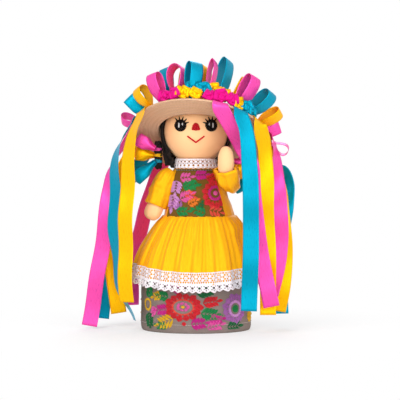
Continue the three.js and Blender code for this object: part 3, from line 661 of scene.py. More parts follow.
def smooth_path(points, count):
    """Points spaced evenly along a smooth line through given points, on any number of axes."""
    points = np.asarray(points, float)
    ends = [2 * points[0] - points[1], *points, 2 * points[-1] - points[-2]]
    fine = []
    for p0, p1, p2, p3 in zip(ends, ends[1:], ends[2:], ends[3:]):
        d0, d1, d2 = (math.sqrt(np.linalg.norm(b - a)) for a, b in ((p0, p1), (p1, p2), (p2, p3)))
        m1 = ((p1 - p0) / d0 - (p2 - p0) / (d0 + d1) + (p2 - p1) / d1) * d1
        m2 = ((p2 - p1) / d1 - (p3 - p1) / (d1 + d2) + (p3 - p2) / d2) * d1
        for s in np.linspace(0, 1, 24, endpoint=False):
            fine.append((2 * s**3 - 3 * s**2 + 1) * p1 + (s**3 - 2 * s**2 + s) * m1
                        + (3 * s**2 - 2 * s**3) * p2 + (s**3 - s**2) * m2)
    fine = np.array([*fine, points[-1]])
    walked = lengths(fine[None])
    spots = np.linspace(0, walked[-1], count)
    return np.stack([np.interp(spots, walked, axis) for axis in fine.T], axis=1)


BODY_LINE = smooth_path(BODY, 60)


def on_body(turn, z, lift=0.0):
    """A point off the bare body at a height."""
    x, half_width, half_depth = (np.interp(z, BODY_LINE[:, 0], BODY_LINE[:, i]) for i in (1, 2, 3))
    return (*oval(np.array(turn), half_width + lift, half_depth + lift, x), z)


def stuffed(name, rings, material):
    """A closed soft form over rings of points in mm, from one end to the other."""
    rings = np.asarray(rings)
    count, sides = rings.shape[:2]
    ends = [rings[0].mean(axis=0), rings[-1].mean(axis=0)]
    points = np.concatenate([rings.reshape(-1, 3), ends])
    faces, uv = woven(rings, True)
    first_uv, last_uv = uv[:4 * sides:4], uv[3 - 4 * sides::4]
    last = (count - 1) * sides
    for c in range(sides):
        d = (c + 1) % sides
        faces.append((count * sides, d, c))
        faces.append((count * sides + 1, last + c, last + d))
        uv += [first_uv[c]] * 3 + [last_uv[c]] * 3
    return paint(mesh_piece(name, points, faces, uv), material)


def cotton_finish(name, colour, dark, weave, cloud):
    """Plain cotton: a fine weave, and clouds of a darker shade."""
    made = Finish(bpy.data.materials.new(name), roughness=0.8, sheen_weight=0.1, sheen_roughness=0.6)
    x, y, z = made.axes(made.place())
    turn = 2 * math.pi / (weave * MM)
    warp = ((x + y * 0.5) * turn).math("SINE") * (z * turn).math("SINE")
    clouds = made.noise(made.place(), 45, 2)
    fuzz = made.noise(made.place(), 2600, 2)
    tone = (clouds * cloud + fuzz * 0.25 + (0.62 - cloud * 0.5)).limited()
    made.feed("Base Color", made.mix(tone, dark, colour))
    made.bump(warp * 0.6 + fuzz * 0.6, 0.06)
    return made.owner


muslin = cotton_finish("muslin", MUSLIN, MUSLIN_DARK, 0.6, 0.5)
torso_rings = [[on_body(t, z) for t in turns(BODY_COLUMNS)] for z in BODY_LINE[::3, 0]]
torso = stuffed("torso_stuffed", torso_rings, muslin)
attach(torso, "stand")
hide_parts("torso")

# Blouse
# Yellow satin sewn close round the body from the waist to the neck, with small pleats at the
# waist, creases above them and some fullness over the shoulders.
SATIN = (0.98, 0.50, 0.012)
# A darker copy of the satin's colour: painted shade in the streaks of its finish.
SATIN_PAINTED_SHADE = (0.80, 0.27, 0.003)
BLOUSE_OFF = 1.2  # distance of its outside from the body, without creases
BLOUSE_CREASE = 0.5
WAIST_PULL = 0.35  # depth of the small pleats just above the waist
WAIST_PLEATS = 30
PLEAT_RISE = 12
SHOULDER_SWELL = 2.4
BLOUSE_ROWS = 56


def satin_finish(name, colour, deep, rib=0.32, metallic=0.1):
    """Satin: floats of thread along the cloth, with a soft gloss. Its colour is painted sheen and shade:
    streaks along the cloth run from the given colour to its darker copy, deep.
    """
    tint = tuple(part / max(colour) for part in colour)
    made = Finish(bpy.data.materials.new(name), metallic=metallic, specular_ior_level=0.5,
                  specular_tint=tint)
    u, v, _ = made.axes(made.threads())
    drawn_out = made.add("ShaderNodeCombineXYZ", None, {"X": u * 2.2, "Y": v * 0.16, "Z": 0})
    streaks = made.noise(drawn_out, 1.0, 3)
    ribs = (v * (2 * math.pi / rib)).math("SINE")
    # Painted sheen and shade: the streaks run from the darker copy, deep, to the lit colour.
    made.feed("Base Color", made.mix((streaks * 0.6 + 0.42).limited(), deep, colour))
    made.feed("Roughness", streaks * 0.2 + 0.2)
    made.bump(streaks * 0.7 + ribs * 0.3, 0.03)
    return made.owner


yellow_satin = satin_finish("yellow_satin", SATIN, SATIN_PAINTED_SHADE)


def on_blouse(turn, z):
    """A point on the satin, with its creases, its pleats and its fullness at the shoulders."""
    crease = BLOUSE_CREASE * bumps((60 * math.sin(turn), 60 * math.cos(turn), z * 2.2), 15, 3)
    pleats = WAIST_PULL * math.cos(WAIST_PLEATS * turn + 4 * math.sin(2 * turn))
    pleats *= max(0, 1 - (z - WAIST) / PLEAT_RISE)
    swell = SHOULDER_SWELL * math.sin(turn) ** 6 * math.exp(-((z - SHOULDER) / 4) ** 2)
    return on_body(turn, z, BLOUSE_OFF + crease + pleats + swell)


blouse_grid = np.array([[on_blouse(t, z) for t in turns(BODY_COLUMNS)]
                        for z in np.linspace(WAIST - 1, SHOULDER + 7, BLOUSE_ROWS)])
blouse = cloth("blouse_satin", blouse_grid, yellow_satin, True)
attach(blouse, "stand")
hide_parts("blouse")

# Bodice panel
# A front of gold-brown net, worked with flowers in satin stitch and sewn over the blouse, with a
# narrow trim along its top under the collar.
PANEL_BROWN = (0.25, 0.125, 0.014)
PANEL_DARK = (0.085, 0.036, 0.006)
PANEL_TURN = (math.radians(-60), math.radians(43))
PANEL_FOOT = WAIST - 0.5
PANEL_TOP = SHOULDER + 2.4
PANEL_OFF = 2.9
PANEL_COLUMNS = 60
PANEL_ROWS = 36
PANEL_PITCH = 0.8
PANEL_THICKNESS = 0.5
PANEL_CREASE = 0.25


def on_panel(turn, z, lift=0.0):
    return on_body(turn, z, PANEL_OFF + lift + PANEL_CREASE * bumps((turn * 30, 0, z), 11, 5))


panel_grid = np.array([[on_panel(t, z) for t in np.linspace(*PANEL_TURN, PANEL_COLUMNS)]
                       for z in np.linspace(PANEL_FOOT, PANEL_TOP, PANEL_ROWS)])
gold_net = net_finish("gold_net", PANEL_BROWN, PANEL_DARK, PANEL_PITCH)
panel = cloth("bodice_net", panel_grid, gold_net, thickness=PANEL_THICKNESS)
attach(panel, "stand")
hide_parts("bodice_panel")


def panel_surface(x, z, lift):
    """Places across the front as they are seen, and heights, to a point just off the panel."""
    wide = np.interp(z, BODY_LINE[:, 0], BODY_LINE[:, 2]) + PANEL_OFF
    middle = np.interp(z, BODY_LINE[:, 0], BODY_LINE[:, 1])
    turn = math.asin(np.clip((x - middle) / wide, -0.96, 0.96))
    return on_panel(np.clip(turn, *PANEL_TURN), np.clip(z, PANEL_FOOT, PANEL_TOP), lift)


PANEL_SHAPES = [
    (leafy((-19, 152), 262, 18, 3.2, 4, 54), PALE_LILAC),
    (leafy((-21.5, 138), 258, 20, 3.2, 4, 54), PALE_LILAC),
    (leafy((-14, 132), 214, 16, 2.8, 3, 50), LILAC),
    (leafy((-16, 154.5), 6, 16, 3, 3, 50), ROSE),
    (leafy((-1, 157.5), 2, 16, 2.8, 4, 50), MAGENTA),
    (leafy((-14, 146.5), 4, 20, 3.4, 3, 46), GREEN),
    (leafy((2, 150), 196, 14, 2.8, 3, 46), GREEN),
    (leafy((-16, 133.5), 24, 18, 2.8, 4, 50), ROSE),
    (leafy((-11, 141), -30, 15, 2.8, 3, 48), CORAL),
    (leafy((-8, 128), 26, 14, 2.6, 3, 48), ORANGE),
    (flower((19.5, 138.5), 14, 16, 13), RED),
    (ring((19.5, 139.5), 7.6, 7.6, 0.36), MAGENTA),
    ([(disc(2.2, 2.2, (19.5, 139.5)), 20)], ROSE),
    (leafy((13, 123), -14, 18, 2.8, 3, 48), CORAL),
    (leafy((-20, 121), 2, 17, 3, 3, 46), GREEN),
    (leafy((10, 119), 160, 17, 3, 3, 46), GREEN),
    (leafy((4, 124), 70, 9, 2.6, 2, 46), DARK_GREEN),
    (leafy((10, 153), 24, 13, 2.6, 3, 46), RED),
]
panel_lines = [line for shape, colour in PANEL_SHAPES for line in worked(shape, colour, panel_surface)]
TRIM_STITCHES = 30
TRIM_COLOURS = ((0.34, 0.33, 0.26), (0.10, 0.11, 0.07))
TRIM_ARCH = [(0.1, 1.2, 0.5), (0.5, 0.4, 1.1), (0.9, 1.2, 0.5)]  # [share of a stitch, drop, rise]
for i in range(TRIM_STITCHES):
    stitch = [on_panel(np.interp((i + share) / TRIM_STITCHES, (0, 1), PANEL_TURN), PANEL_TOP - drop, rise)
              for share, drop, rise in TRIM_ARCH]
    panel_lines.append((stitch, TRIM_COLOURS[i % 2]))
panel_threads = threads("bodice_embroidery", panel_lines, THREAD, STRANDS)
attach(panel_threads, "stand")

# Overskirt
# A strip of yellow satin gathered into the waist seam, so that it flares in soft flutes to its
# hem. The gathers puff out at the doll's left hip.
WAIST_HALF = np.array([38.5, 32.5])
HEM_HALF = np.array([64.5, 57.0])
HEM_FRONT = 49
HEM_SIDE_RISE = 8
FOLDS = 22
FOLD_DEPTH = 1.7
GATHERS = 66
GATHER_DEPTH = 0.8
GATHER_REACH = 0.75  # share of the way to the hem where the gathers have opened out
WAIST_SHIFT = 3.5
# [share of the way from the waist to the hem, share of the flare]
FLARE = smooth_path([(0, 0), (0.16, 0.26), (0.32, 0.47), (0.55, 0.73), (0.8, 0.92), (1, 1)], 40)
OVERSKIRT_COLUMNS = FOLDS * 16
OVERSKIRT_ROWS = 46
PUFF_TURN = math.radians(58)
PUFF_DOWN = 0.14
PUFF_SPREAD = (0.30, 0.13)  # round the waist, in radians, and down, as a share
PUFF = 3.6
HEADING = (WAIST + 1.4, WAIST + 0.9)  # heights of the edge that is turned in to the blouse
HEADING_ROLL = 0.9


def fluted(turn, down):
    """How far the cloth stands out in its flutes and gathers."""
    spread = np.interp(down, *FLARE.T)
    flute = math.cos(FOLDS * turn + 1.2 * math.sin(3 * turn))
    fine = math.cos(2.6 * FOLDS * turn + 3.1 * math.sin(2 * turn) + 2.2 * down)
    flutes = FOLD_DEPTH * (0.25 + 0.75 * spread) * (flute + 0.36 * fine)
    gathers = GATHER_DEPTH * max(0, 1 - down / GATHER_REACH) * min(1, down * 14)
    gathers *= math.cos(GATHERS * turn + 2.5 * math.sin(5 * turn))
    aside, below = (turn - PUFF_TURN) / PUFF_SPREAD[0], (down - PUFF_DOWN) / PUFF_SPREAD[1]
    puff = PUFF * math.exp(-aside**2 - below**2)
    ridges = 1 + 0.35 * math.cos(11 * (turn - PUFF_TURN) + 9 * down)
    return flutes + gathers + puff * ridges


def on_overskirt(turn, down, lift=0.0):
    """A point on the outside of the satin, down being 0 at the waist and 1 at the hem."""
    spread = np.interp(down, *FLARE.T)
    half_width, half_depth = WAIST_HALF + (HEM_HALF - WAIST_HALF) * spread + lift
    out = fluted(turn, down)
    hem = HEM_FRONT + HEM_SIDE_RISE * math.sin(turn) ** 2
    flat = oval(np.array(turn), half_width + out, half_depth + out, WAIST_SHIFT * (1 - spread))
    return (*flat, WAIST + (hem - WAIST) * down)


overskirt_grid = np.array([[on_overskirt(t, d) for t in turns(OVERSKIRT_COLUMNS)]
                           for d in np.linspace(1, 0, OVERSKIRT_ROWS)])
heading = np.array([[on_blouse(t, z) for t in turns(OVERSKIRT_COLUMNS)] for z in HEADING])
inwards = heading[1] - overskirt_grid[-1]
turned_in = [overskirt_grid[-1] + inwards * s + (0, 0, HEADING_ROLL * math.sin(math.pi * s))
             for s in (0.25, 0.5, 0.75, 1)]
overskirt_grid = np.concatenate([overskirt_grid, turned_in, heading[:1]])
overskirt = cloth("overskirt_satin", overskirt_grid, yellow_satin, True)
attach(overskirt, "stand")
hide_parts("overskirt")

# Lace of the overskirt and the collar
# White machine lace: a net over the satin's hem with an eyelet frill below it, ending in
# scallops, and a narrower strip of the same lace that stands round the neck.
LACE_WHITE = (0.93, 0.90, 0.91)
LACE_SHADE = (0.80, 0.71, 0.77)
LACE_THICKNESS = 0.45
LACE_JOIN = 0.02  # corners of neighbouring repeats that are closer become one


def lace_finish():
    """Soft cotton thread, a little shaded between its strands."""
    made = Finish(bpy.data.materials.new("white_lace"), roughness=0.75, sheen_weight=0.2,
                  sheen_roughness=0.5)
    tone = made.noise(made.place(), 900, 3)
    made.feed("Base Color", made.mix(tone, LACE_SHADE, LACE_WHITE))
    made.bump(made.noise(made.place(), 2600, 2), 0.12)
    return made.owner


white_lace = lace_finish()


def round_hole(x, y, radius, points, tall=1.0):
    turn = turns(points)
    return np.stack([x + radius * np.sin(turn), y + radius * tall * np.cos(turn)], 1)


def flat_motif(outline, holes):
    """Points and faces of a flat outline with holes in it."""
    curve = bpy.data.curves.new("motif", "CURVE")
    curve.dimensions = "2D"
    curve.fill_mode = "BOTH"
    for loop in [outline, *holes]:
        spline = curve.splines.new("POLY")
        spline.points.add(len(loop) - 1)
        spline.points.foreach_set("co", np.array([(x, y, 0, 1) for x, y in loop], np.float32).ravel())
        spline.use_cyclic_u = True
    holder = link(bpy.data.objects.new("motif", curve))
    evaluated = holder.evaluated_get(bpy.context.evaluated_depsgraph_get())
    mesh = bpy.data.meshes.new_from_object(evaluated)
    made = np.array([v.co[:2] for v in mesh.vertices]), [list(p.vertices) for p in mesh.polygons]
    bpy.data.objects.remove(holder)
    return made


def lace(name, motif, width, repeats, surface):
    """A closed band of a motif, laid on a surface of (share round it, height on the motif)."""
    spots, shapes = motif
    points, faces = [], []
    for k in range(repeats):
        base = len(points)
        points += [surface((k + x / width) / repeats, y) for x, y in spots]
        faces += [[base + i for i in shape] for shape in shapes]
    obj = mesh_piece(name, points, faces)
    weld = obj.modifiers.new("seams", "WELD")
    weld.merge_threshold = LACE_JOIN * MM
    return thickened(paint(obj, white_lace), LACE_THICKNESS, 0)


def scallops(width, height, depth, levels):
    """Outline of one repeat of lace: a scallop below, a straight top, and straight sides with
    corners at given levels."""
    foot = [(width * s, depth * (1 - math.sin(math.pi * s))) for s in np.linspace(0, 1, 11)]
    right = [(width, y) for y in levels]
    top = [(width * s, height) for s in np.linspace(1, 0, 7)]
    left = [(0, y) for y in reversed(levels)]
    return np.array(foot + right + top + left)


FRILL = 8.2  # height of the eyelet frill, below the net
LACE_HEIGHT = 20
LACE_WIDTH = 6.4
LACE_SCALLOP = 1.7
LACE_LEVELS = [3.2, *range(5, LACE_HEIGHT, 2)]
LACE_REPEATS = 60
LACE_OFF = 1.3
# [share across a repeat, height, radius, corners]
LACE_EYELETS = [
    (0.5, 4.9, 1.3, 8), (0.5, 2.1, 0.7, 6), (0.2, 6.2, 0.7, 6), (0.8, 6.2, 0.7, 6),
    (0.22, 3.1, 0.55, 6), (0.78, 3.1, 0.55, 6),
]
NET_ROWS = 5
NET_STEP = 2.0
NET_START = FRILL + 2.1
NET_HOLE = 0.97  # radius of a diamond hole
NET_TALL = 1.4
NET_DOT = 0.4  # share of a hole that is left open in the dot at the middle of each repeat
lace_holes = [round_hole(LACE_WIDTH * x, y, radius, corners) for x, y, radius, corners in LACE_EYELETS]
for row in range(NET_ROWS):
    columns = 3 - row % 2
    for k in range(columns):
        aside = k - (columns - 1) / 2
        radius = NET_HOLE * NET_DOT if row == NET_ROWS // 2 and aside == 0 else NET_HOLE
        across = LACE_WIDTH / 2 + aside * LACE_WIDTH / 3
        lace_holes.append(round_hole(across, NET_START + row * NET_STEP, radius, 4, NET_TALL))
lace_motif = flat_motif(scallops(LACE_WIDTH, LACE_HEIGHT, LACE_SCALLOP, LACE_LEVELS), lace_holes)
HEM_DROP = WAIST - HEM_FRONT
LACE_DROP = 7  # height of the frill that hangs below the satin
LACE_SEAM = 0.8  # overlap of the frill on the satin
FRILL_OUT = 2.6
FRILL_WAVES = (0.9, 0.8)  # regular and loose


def on_lace(share, height):
    """The net lies on the satin and the frill waves out below its hem."""
    turn = 2 * math.pi * share
    above = height - FRILL + LACE_SEAM
    if above >= 0:
        return on_overskirt(turn, 1 - above / HEM_DROP, LACE_OFF)
    loose = -above / LACE_DROP
    wave = FRILL_WAVES[0] * math.sin(LACE_REPEATS * math.pi * share)
    wave += FRILL_WAVES[1] * bumps((turn * 30, 0, 0), 4.5, 9)
    x, y, z = on_overskirt(turn, 1, LACE_OFF + (FRILL_OUT + wave) * loose)
    return (x, y, z + above * 0.96)


overskirt_lace = lace("overskirt_lace_net", lace_motif, LACE_WIDTH, LACE_REPEATS, on_lace)
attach(overskirt_lace, "stand")
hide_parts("overskirt_lace")

COLLAR_LOW = 164.2
COLLAR_HIGH = 174
COLLAR_RADII = (23.2, 20.9)
COLLAR_WIDTH = 4.8
COLLAR_SCALLOP = 0.8
COLLAR_LEVELS = [2, 4, 6, 8]
COLLAR_REPEATS = 29
COLLAR_WAVE = 0.35
# [share across a repeat, height, radius, corners]
COLLAR_EYELETS = [
    (0.5, 3.2, 1.1, 8), (0.5, 1.2, 0.5, 6), (0.2, 5.2, 0.75, 6), (0.8, 5.2, 0.75, 6),
    (0.5, 6.9, 1.1, 8), (0.19, 8.2, 0.6, 6), (0.81, 8.2, 0.6, 6),
]
collar_height = COLLAR_HIGH - COLLAR_LOW
collar_outline = scallops(COLLAR_WIDTH, collar_height, COLLAR_SCALLOP, COLLAR_LEVELS)
collar_holes = [round_hole(COLLAR_WIDTH * x, y, radius, corners) for x, y, radius, corners in COLLAR_EYELETS]
collar_motif = flat_motif(collar_outline, collar_holes)


def on_collar(share, height):
    """The strip leans in to its top edge and waves a little along its foot."""
    turn = 2 * math.pi * share
    up = height / collar_height
    radius = np.interp(up, (0, 1), COLLAR_RADII)
    radius += COLLAR_WAVE * math.cos(COLLAR_REPEATS * turn) * (1 - up)
    return (*oval(np.array(turn), radius, radius), COLLAR_LOW + height)


collar = lace("lace_collar_band", collar_motif, COLLAR_WIDTH, COLLAR_REPEATS, on_collar)
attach(collar, "stand")
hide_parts("lace_collar")

# Arms
# Two stuffed arms of peach cotton with mitten hands. The right one hangs down and the left one
# is held up, waving, with its hand bent up at the wrist.
SKIN = (1.0, 0.601, 0.29)
SKIN_DEEP = (0.95, 0.48, 0.23)
ARM_SIDES = 36
ARM_ROWS = 48
# [point, radius] along each arm, from the shoulder to the finger tips
ARMS = {
    "right": [((-25.6, -3.7, 159.6), 2.4), ((-27, -4, 157), 5.0), ((-31.8, -5.4, 147.4), 7.2),
              ((-38, -7.1, 132.2), 7.4), ((-42.4, -8.2, 122.7), 8.8), ((-45, -8.8, 117.2), 8.2),
              ((-46.6, -9.2, 113.6), 5.4), ((-47.2, -9.3, 112.4), 2.2)],
    "left": [((26, -8.2, 158), 2.4), ((27.4, -11.4, 156.4), 4.2), ((32, -23, 152.2), 5.8),
             ((34, -35, 151.8), 6.4), ((31.8, -43.4, 157), 7.4), ((30, -48.6, 165.4), 8.0),
             ((29.8, -50.2, 173), 8.1), ((29.8, -50.6, 180), 7.0), ((29.8, -50.6, 185), 4.3),
             ((29.8, -50.6, 186.6), 1.8)],
}
skin_cotton = cotton_finish("peach_cotton", SKIN, SKIN_DEEP, 0.55, 0.25)


def units(vectors):
    return vectors / np.linalg.norm(vectors, axis=1)[:, None]


def tube_rings(line, radii, sides):
    """Rings of points round a line in mm, each with its own radius."""
    run = units(np.gradient(line, axis=0))
    across = units(np.array([1, 0, 0]) - run * run[:, :1])
    up = np.cross(run, across)
    turn = turns(sides)[None, :, None]
    spokes = across[:, None] * np.cos(turn) + up[:, None] * np.sin(turn)
    return line[:, None] + radii[:, None, None] * spokes


for side, rows in ARMS.items():
    path = smooth_path([(*point, radius) for point, radius in rows], ARM_ROWS)
    arm = stuffed(f"{side}_arm_stuffed", tube_rings(path[:, :3], path[:, 3], ARM_SIDES), skin_cotton)
    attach(arm, f"{side}_arm")
    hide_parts(f"{side}_arm")

# Sleeves
# Wide sleeves of the yellow satin, gathered at the shoulder, loose at the cuff and creased across
# where the arm bends. The raised one sags below the arm.
SLEEVE_SIDES = 72
SLEEVE_ROWS = 54
SLEEVE_THICKNESS = 0.5
# [share of the cuff's width, share of a step past it] where the cuff is turned in
CUFF_ROLL = ((0.97, 0.9), (0.9, 1.1), (0.82, 0.4))
# [point, radius] from the shoulder to the cuff
SLEEVES = {
    "right": [((-24.4, -3.6, 161.2), 5.4), ((-28, -4.4, 156.4), 9.0), ((-33, -5.4, 147.2), 10.6),
              ((-37, -6.6, 136.4), 11.2), ((-40.6, -7.7, 127.2), 10.6)],
    "left": [((25.6, -6, 158), 7.6), ((29.8, -14.5, 153.6), 8.2), ((33.6, -26, 150.6), 8.6),
             ((34.8, -36.6, 150.2), 9.2), ((32.4, -44, 155.6), 10.8), ((30, -47.8, 163.8), 11.6)],
}
SLEEVE_CREASES = {"right": (1.0, 5), "left": (1.25, 4)}  # [depth, seed]


def sleeve_folds(rings, middle, depth, seed):
    """A sleeve's rings pushed in and out: creases across it, gathers at the shoulder and flutes
    towards the cuff."""
    made = np.array(rings)
    count = len(made)
    for r in range(count):
        share = r / (count - 1)
        for c in range(SLEEVE_SIDES):
            turn = 2 * math.pi * c / SLEEVE_SIDES
            across = 0.5 * share * math.sin(17 * share + 3 * math.sin(turn + 0.6) + seed)
            flutes = 0.7 * share * math.cos(7 * turn + 5 * share)
            gathers = 0.5 * (1 - share) ** 3 * math.cos(16 * turn)
            round_arm = (8 * math.cos(turn), 8 * math.sin(turn), 60 * share)
            slack = (0.5 + 0.9 * share) * bumps(round_arm, 8, seed)
            out = made[r, c] - middle[r]
            push = depth * (across * min(1, 6 * share) + flutes + gathers + slack)
            made[r, c] += out / np.linalg.norm(out) * push
    return made


for side, rows in SLEEVES.items():
    path = smooth_path([(*point, radius) for point, radius in rows], SLEEVE_ROWS)
    middle = path[:, :3]
    rings = tube_rings(middle, path[:, 3], SLEEVE_SIDES)
    rings = sleeve_folds(rings, middle, *SLEEVE_CREASES[side])
    past = middle[-1] - middle[-2]
    cuff = [middle[-1] + (rings[-1] - middle[-1]) * wide + past * step for wide, step in CUFF_ROLL]
    sleeve = cloth(f"{side}_sleeve_satin", np.concatenate([rings, cuff]), yellow_satin, True,
                   thickness=SLEEVE_THICKNESS, offset=1.0)
    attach(sleeve, f"{side}_arm")
    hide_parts(f"{side}_sleeve")

# Head
# A ball of peach cotton, stuffed firm and gathered in at the neck, where the stick of the column
# runs up into it.
head_low, head_high = [np.array(corner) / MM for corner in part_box("head")]
HEAD_MIDDLE = (head_low + head_high) / 2
HEAD = (head_high - head_low)[2] / 2
HEAD_COLUMNS = 96
HEAD_ROWS = 64
HEAD_UNEVEN = 0.25
HEAD_GATHER = 0.03  # angle of the small round where the cloth is drawn together, below and on top


def on_head(turn, down):
    """A point on the ball, down being the angle from its top."""
    dents = bumps((20 * math.sin(turn), 20 * math.cos(turn), 20 * down), 13, 7)
    radius = HEAD - 0.2 + HEAD_UNEVEN * dents
    flat = oval(np.array(turn), radius * math.sin(down), radius * math.sin(down))
    return HEAD_MIDDLE + np.array([*flat, radius * math.cos(down)])


head_rings = [[on_head(t, d) for t in turns(HEAD_COLUMNS)]
              for d in np.linspace(math.pi - HEAD_GATHER, HEAD_GATHER, HEAD_ROWS)]
head = stuffed("head_stuffed", head_rings, skin_cotton)
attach(head, "head")
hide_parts("head")

# Face
# Worked in thread on the head: black eyes with white lights and lashes, a red nose and a red
# mouth of two straight lines.
BLACK_THREAD = (0.003, 0.002, 0.002)
WHITE_THREAD = (0.95, 0.94, 0.93)
FACE_RED = (0.62, 0.008, 0.02)
EYE_APART = 31
EYE_UP = 6.2
EYE = 6.0
# [length, width, distance outwards and up from the middle of the eye] of the white lights
EYE_LIGHTS = [(6.8, 1.4, 1.6, -3.4), (3.2, 1.0, -2, -0.4)]
LASHES = (-66, -42, -18, 8, 34)  # degrees outwards from straight up
LASH_LENGTH = 3.8
LASH_THREADS = (-0.6, -0.2, 0.2, 0.6)  # where the threads of one lash start, side by side
NOSE_UP = 1.7
NOSE_SIDE = [(4.2, 0), (4, 2), (3, 5), (1.6, 6.7)]
NOSE_TIP = (0, 7.2)
NOSE_FOOT = (0, -0.7)
MOUTH = [(-8.4, -4.6), (0, -10.8), (8.4, -4.6)]
MOUTH_STITCHES = 5
MOUTH_THREAD = THREAD * 2.4
face_thread = thread_finish("face_thread", 0.5, 0.12)


def on_face(x, up, lift):
    """A point off the face, given across and up from the middle of the head."""
    radius = HEAD + lift
    return HEAD_MIDDLE + np.array([x, -math.sqrt(radius**2 - x**2 - up**2), up])


def between(a, b, share):
    return np.asarray(a) + (np.asarray(b) - np.asarray(a)) * share


def face_line(a, b, lift, colour):
    """One long stitch that stands off the face a little at its middle."""
    line = [on_face(*between(a, b, s), lift + 0.25 * math.sin(math.pi * s)) for s in np.linspace(0, 1, 5)]
    return line, colour


def raised(lift):
    """A surface to work on, flatter than on the clothes and that far off the face."""
    return lambda x, up, more: on_face(x, up, lift + more * 0.6)


def upright(angle):
    """A direction [across, up] at an angle from straight up."""
    return np.array([math.sin(angle), math.cos(angle)])


for side, mirror in (("right", -1), ("left", 1)):
    middle = np.array([mirror * EYE_APART / 2, EYE_UP])
    lines = worked([(disc(EYE, EYE, middle), 90)], BLACK_THREAD, raised(0.1))
    lights = [(petal(length, width, 90, middle + (mirror * out, up)), 90)
              for length, width, out, up in EYE_LIGHTS]
    lines += worked(lights, WHITE_THREAD, raised(0.75))
    for degrees in LASHES:
        lean = math.radians(degrees * mirror)
        foot = middle + upright(lean) * EYE * 0.9
        tip = foot + upright(lean * 1.1) * LASH_LENGTH
        for aside in LASH_THREADS:
            root = foot + upright(lean + math.pi / 2) * aside
            lines.append(face_line(root, tip, 0.3, BLACK_THREAD))
    eye = threads(f"{side}_eye_stitched", lines, THREAD, face_thread)
    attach(eye, "head")
    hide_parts(f"{side}_eye")

nose_outline = np.array([(-x, up) for x, up in NOSE_SIDE] + [NOSE_TIP] + NOSE_SIDE[::-1] + [NOSE_FOOT])
nose_lines = worked([(nose_outline + (0, NOSE_UP), 90)], FACE_RED, raised(0.1))
nose = threads("nose_stitched", nose_lines, THREAD, face_thread)
mouth_lines = []
for a, b in zip(MOUTH, MOUTH[1:]):
    spots = [between(a, b, s) for s in np.linspace(0, 1, MOUTH_STITCHES + 1)]
    mouth_lines += [face_line(p, q, 0.25, FACE_RED) for p, q in zip(spots, spots[1:])]
mouth = threads("mouth_stitched", mouth_lines, MOUTH_THREAD, face_thread, 6)
for piece, node in ((nose, "nose"), (mouth, "mouth")):
    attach(piece, "head")
    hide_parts(node)

# Hair
# Lengths of black yarn laid over the back of the head and stitched down, from under the hat to
# the nape, with loose ends beside the cheeks and a lock that hangs beside the right braid.
YARN_BLACK = (0.012, 0.009, 0.008)
YARN_GREY = (0.022, 0.017, 0.015)
HAIR_FRONT = math.radians(105)
HAIR_TOP = math.radians(14)
NAPE = math.radians(126)
YARNS = 84
YARN = 1.05
YARN_OFF = (1.9, 0.7)  # distance from the head, and how much it varies
CURLS = 16  # loose ends beside each cheek
CURL_FOOT = math.radians(116)  # where they leave the head, down from its top
CURL = 1.4
LOCK = 12  # lengths of yarn in the lock, four side by side
LOCK_TOP = np.radians([58, 82])  # down from the top of the head
LOCK_FALL = [(-33.2, -3, 186), (-32, -3.5, 176), (-30, -3, 166.6)]
LOCK_STEPS = 26


def yarn_finish():
    """Dull woollen yarn, its fibres a little greyer."""
    made = Finish(bpy.data.materials.new("black_yarn"), roughness=0.8, specular_ior_level=0.15)
    fibre = made.noise(made.place(), 1100, 4)
    made.feed("Base Color", made.mix(fibre, YARN_BLACK, YARN_GREY))
    made.bump(fibre, 0.35)
    return made.owner


black_yarn = yarn_finish()


def on_hair(turn, down, lift):
    """A point over the back of the head; turn 0 is straight back."""
    level = math.sin(down)
    out = np.array([math.sin(turn) * level, math.cos(turn) * level, math.cos(down)])
    return HEAD_MIDDLE + (HEAD + lift) * out


hair_lines = []
for i in range(YARNS):
    turn = HAIR_FRONT * (2 * (i + 0.5) / YARNS - 1)
    line = []
    for down in np.linspace(HAIR_TOP, NAPE, 26):
        sway = 0.05 * bumps((i * 7, down * 9, 0), 2.2, 2)
        lift = YARN_OFF[0] + YARN_OFF[1] * bumps((i * 5, down * 12, 3), 2, 4)
        line.append(on_hair(turn + sway, down, lift))
    hair_lines.append((line, YARN_BLACK))
for mirror in (-1, 1):
    for i in range(CURLS):
        start = on_hair(mirror * math.radians(60 + 46 * i / (CURLS - 1)), CURL_FOOT, CURL)
        drop = np.linspace(0, 1, 30)
        phase = 14 * drop + 2.4 * i
        fall = mirror - 18 - 2.5 * math.sin(2.1 * i)
        curl = np.stack([CURL * np.sin(phase) - mirror * 7 * drop,
                         CURL * np.cos(phase) - CURL - 4 * drop, fall * drop], axis=1)
        hair_lines.append((start + curl * np.minimum(1, 4 * drop)[:, None], YARN_BLACK))
for i in range(LOCK):
    aside, behind = 1.5 * (i % 4), 2.4 * (i // 4)
    turn = math.radians(-100 + 5 * (i % 4))
    spread = [(aside, behind, 0), (aside, behind, 0), (1.3 * aside, behind, 0.3 * aside)]
    laid = [on_hair(turn, down, 2.4) for down in LOCK_TOP]
    lock = smooth_path([*laid, *(np.array(LOCK_FALL) + spread)], LOCK_STEPS)
    lock[:, 0] += 0.5 * np.sin(np.linspace(0, 9, LOCK_STEPS) + i)
    hair_lines.append((lock, YARN_BLACK))
hair_yarn = threads("hair_yarn", hair_lines, YARN, black_yarn, 6)
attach(hair_yarn, "head")
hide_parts("hair_cap")

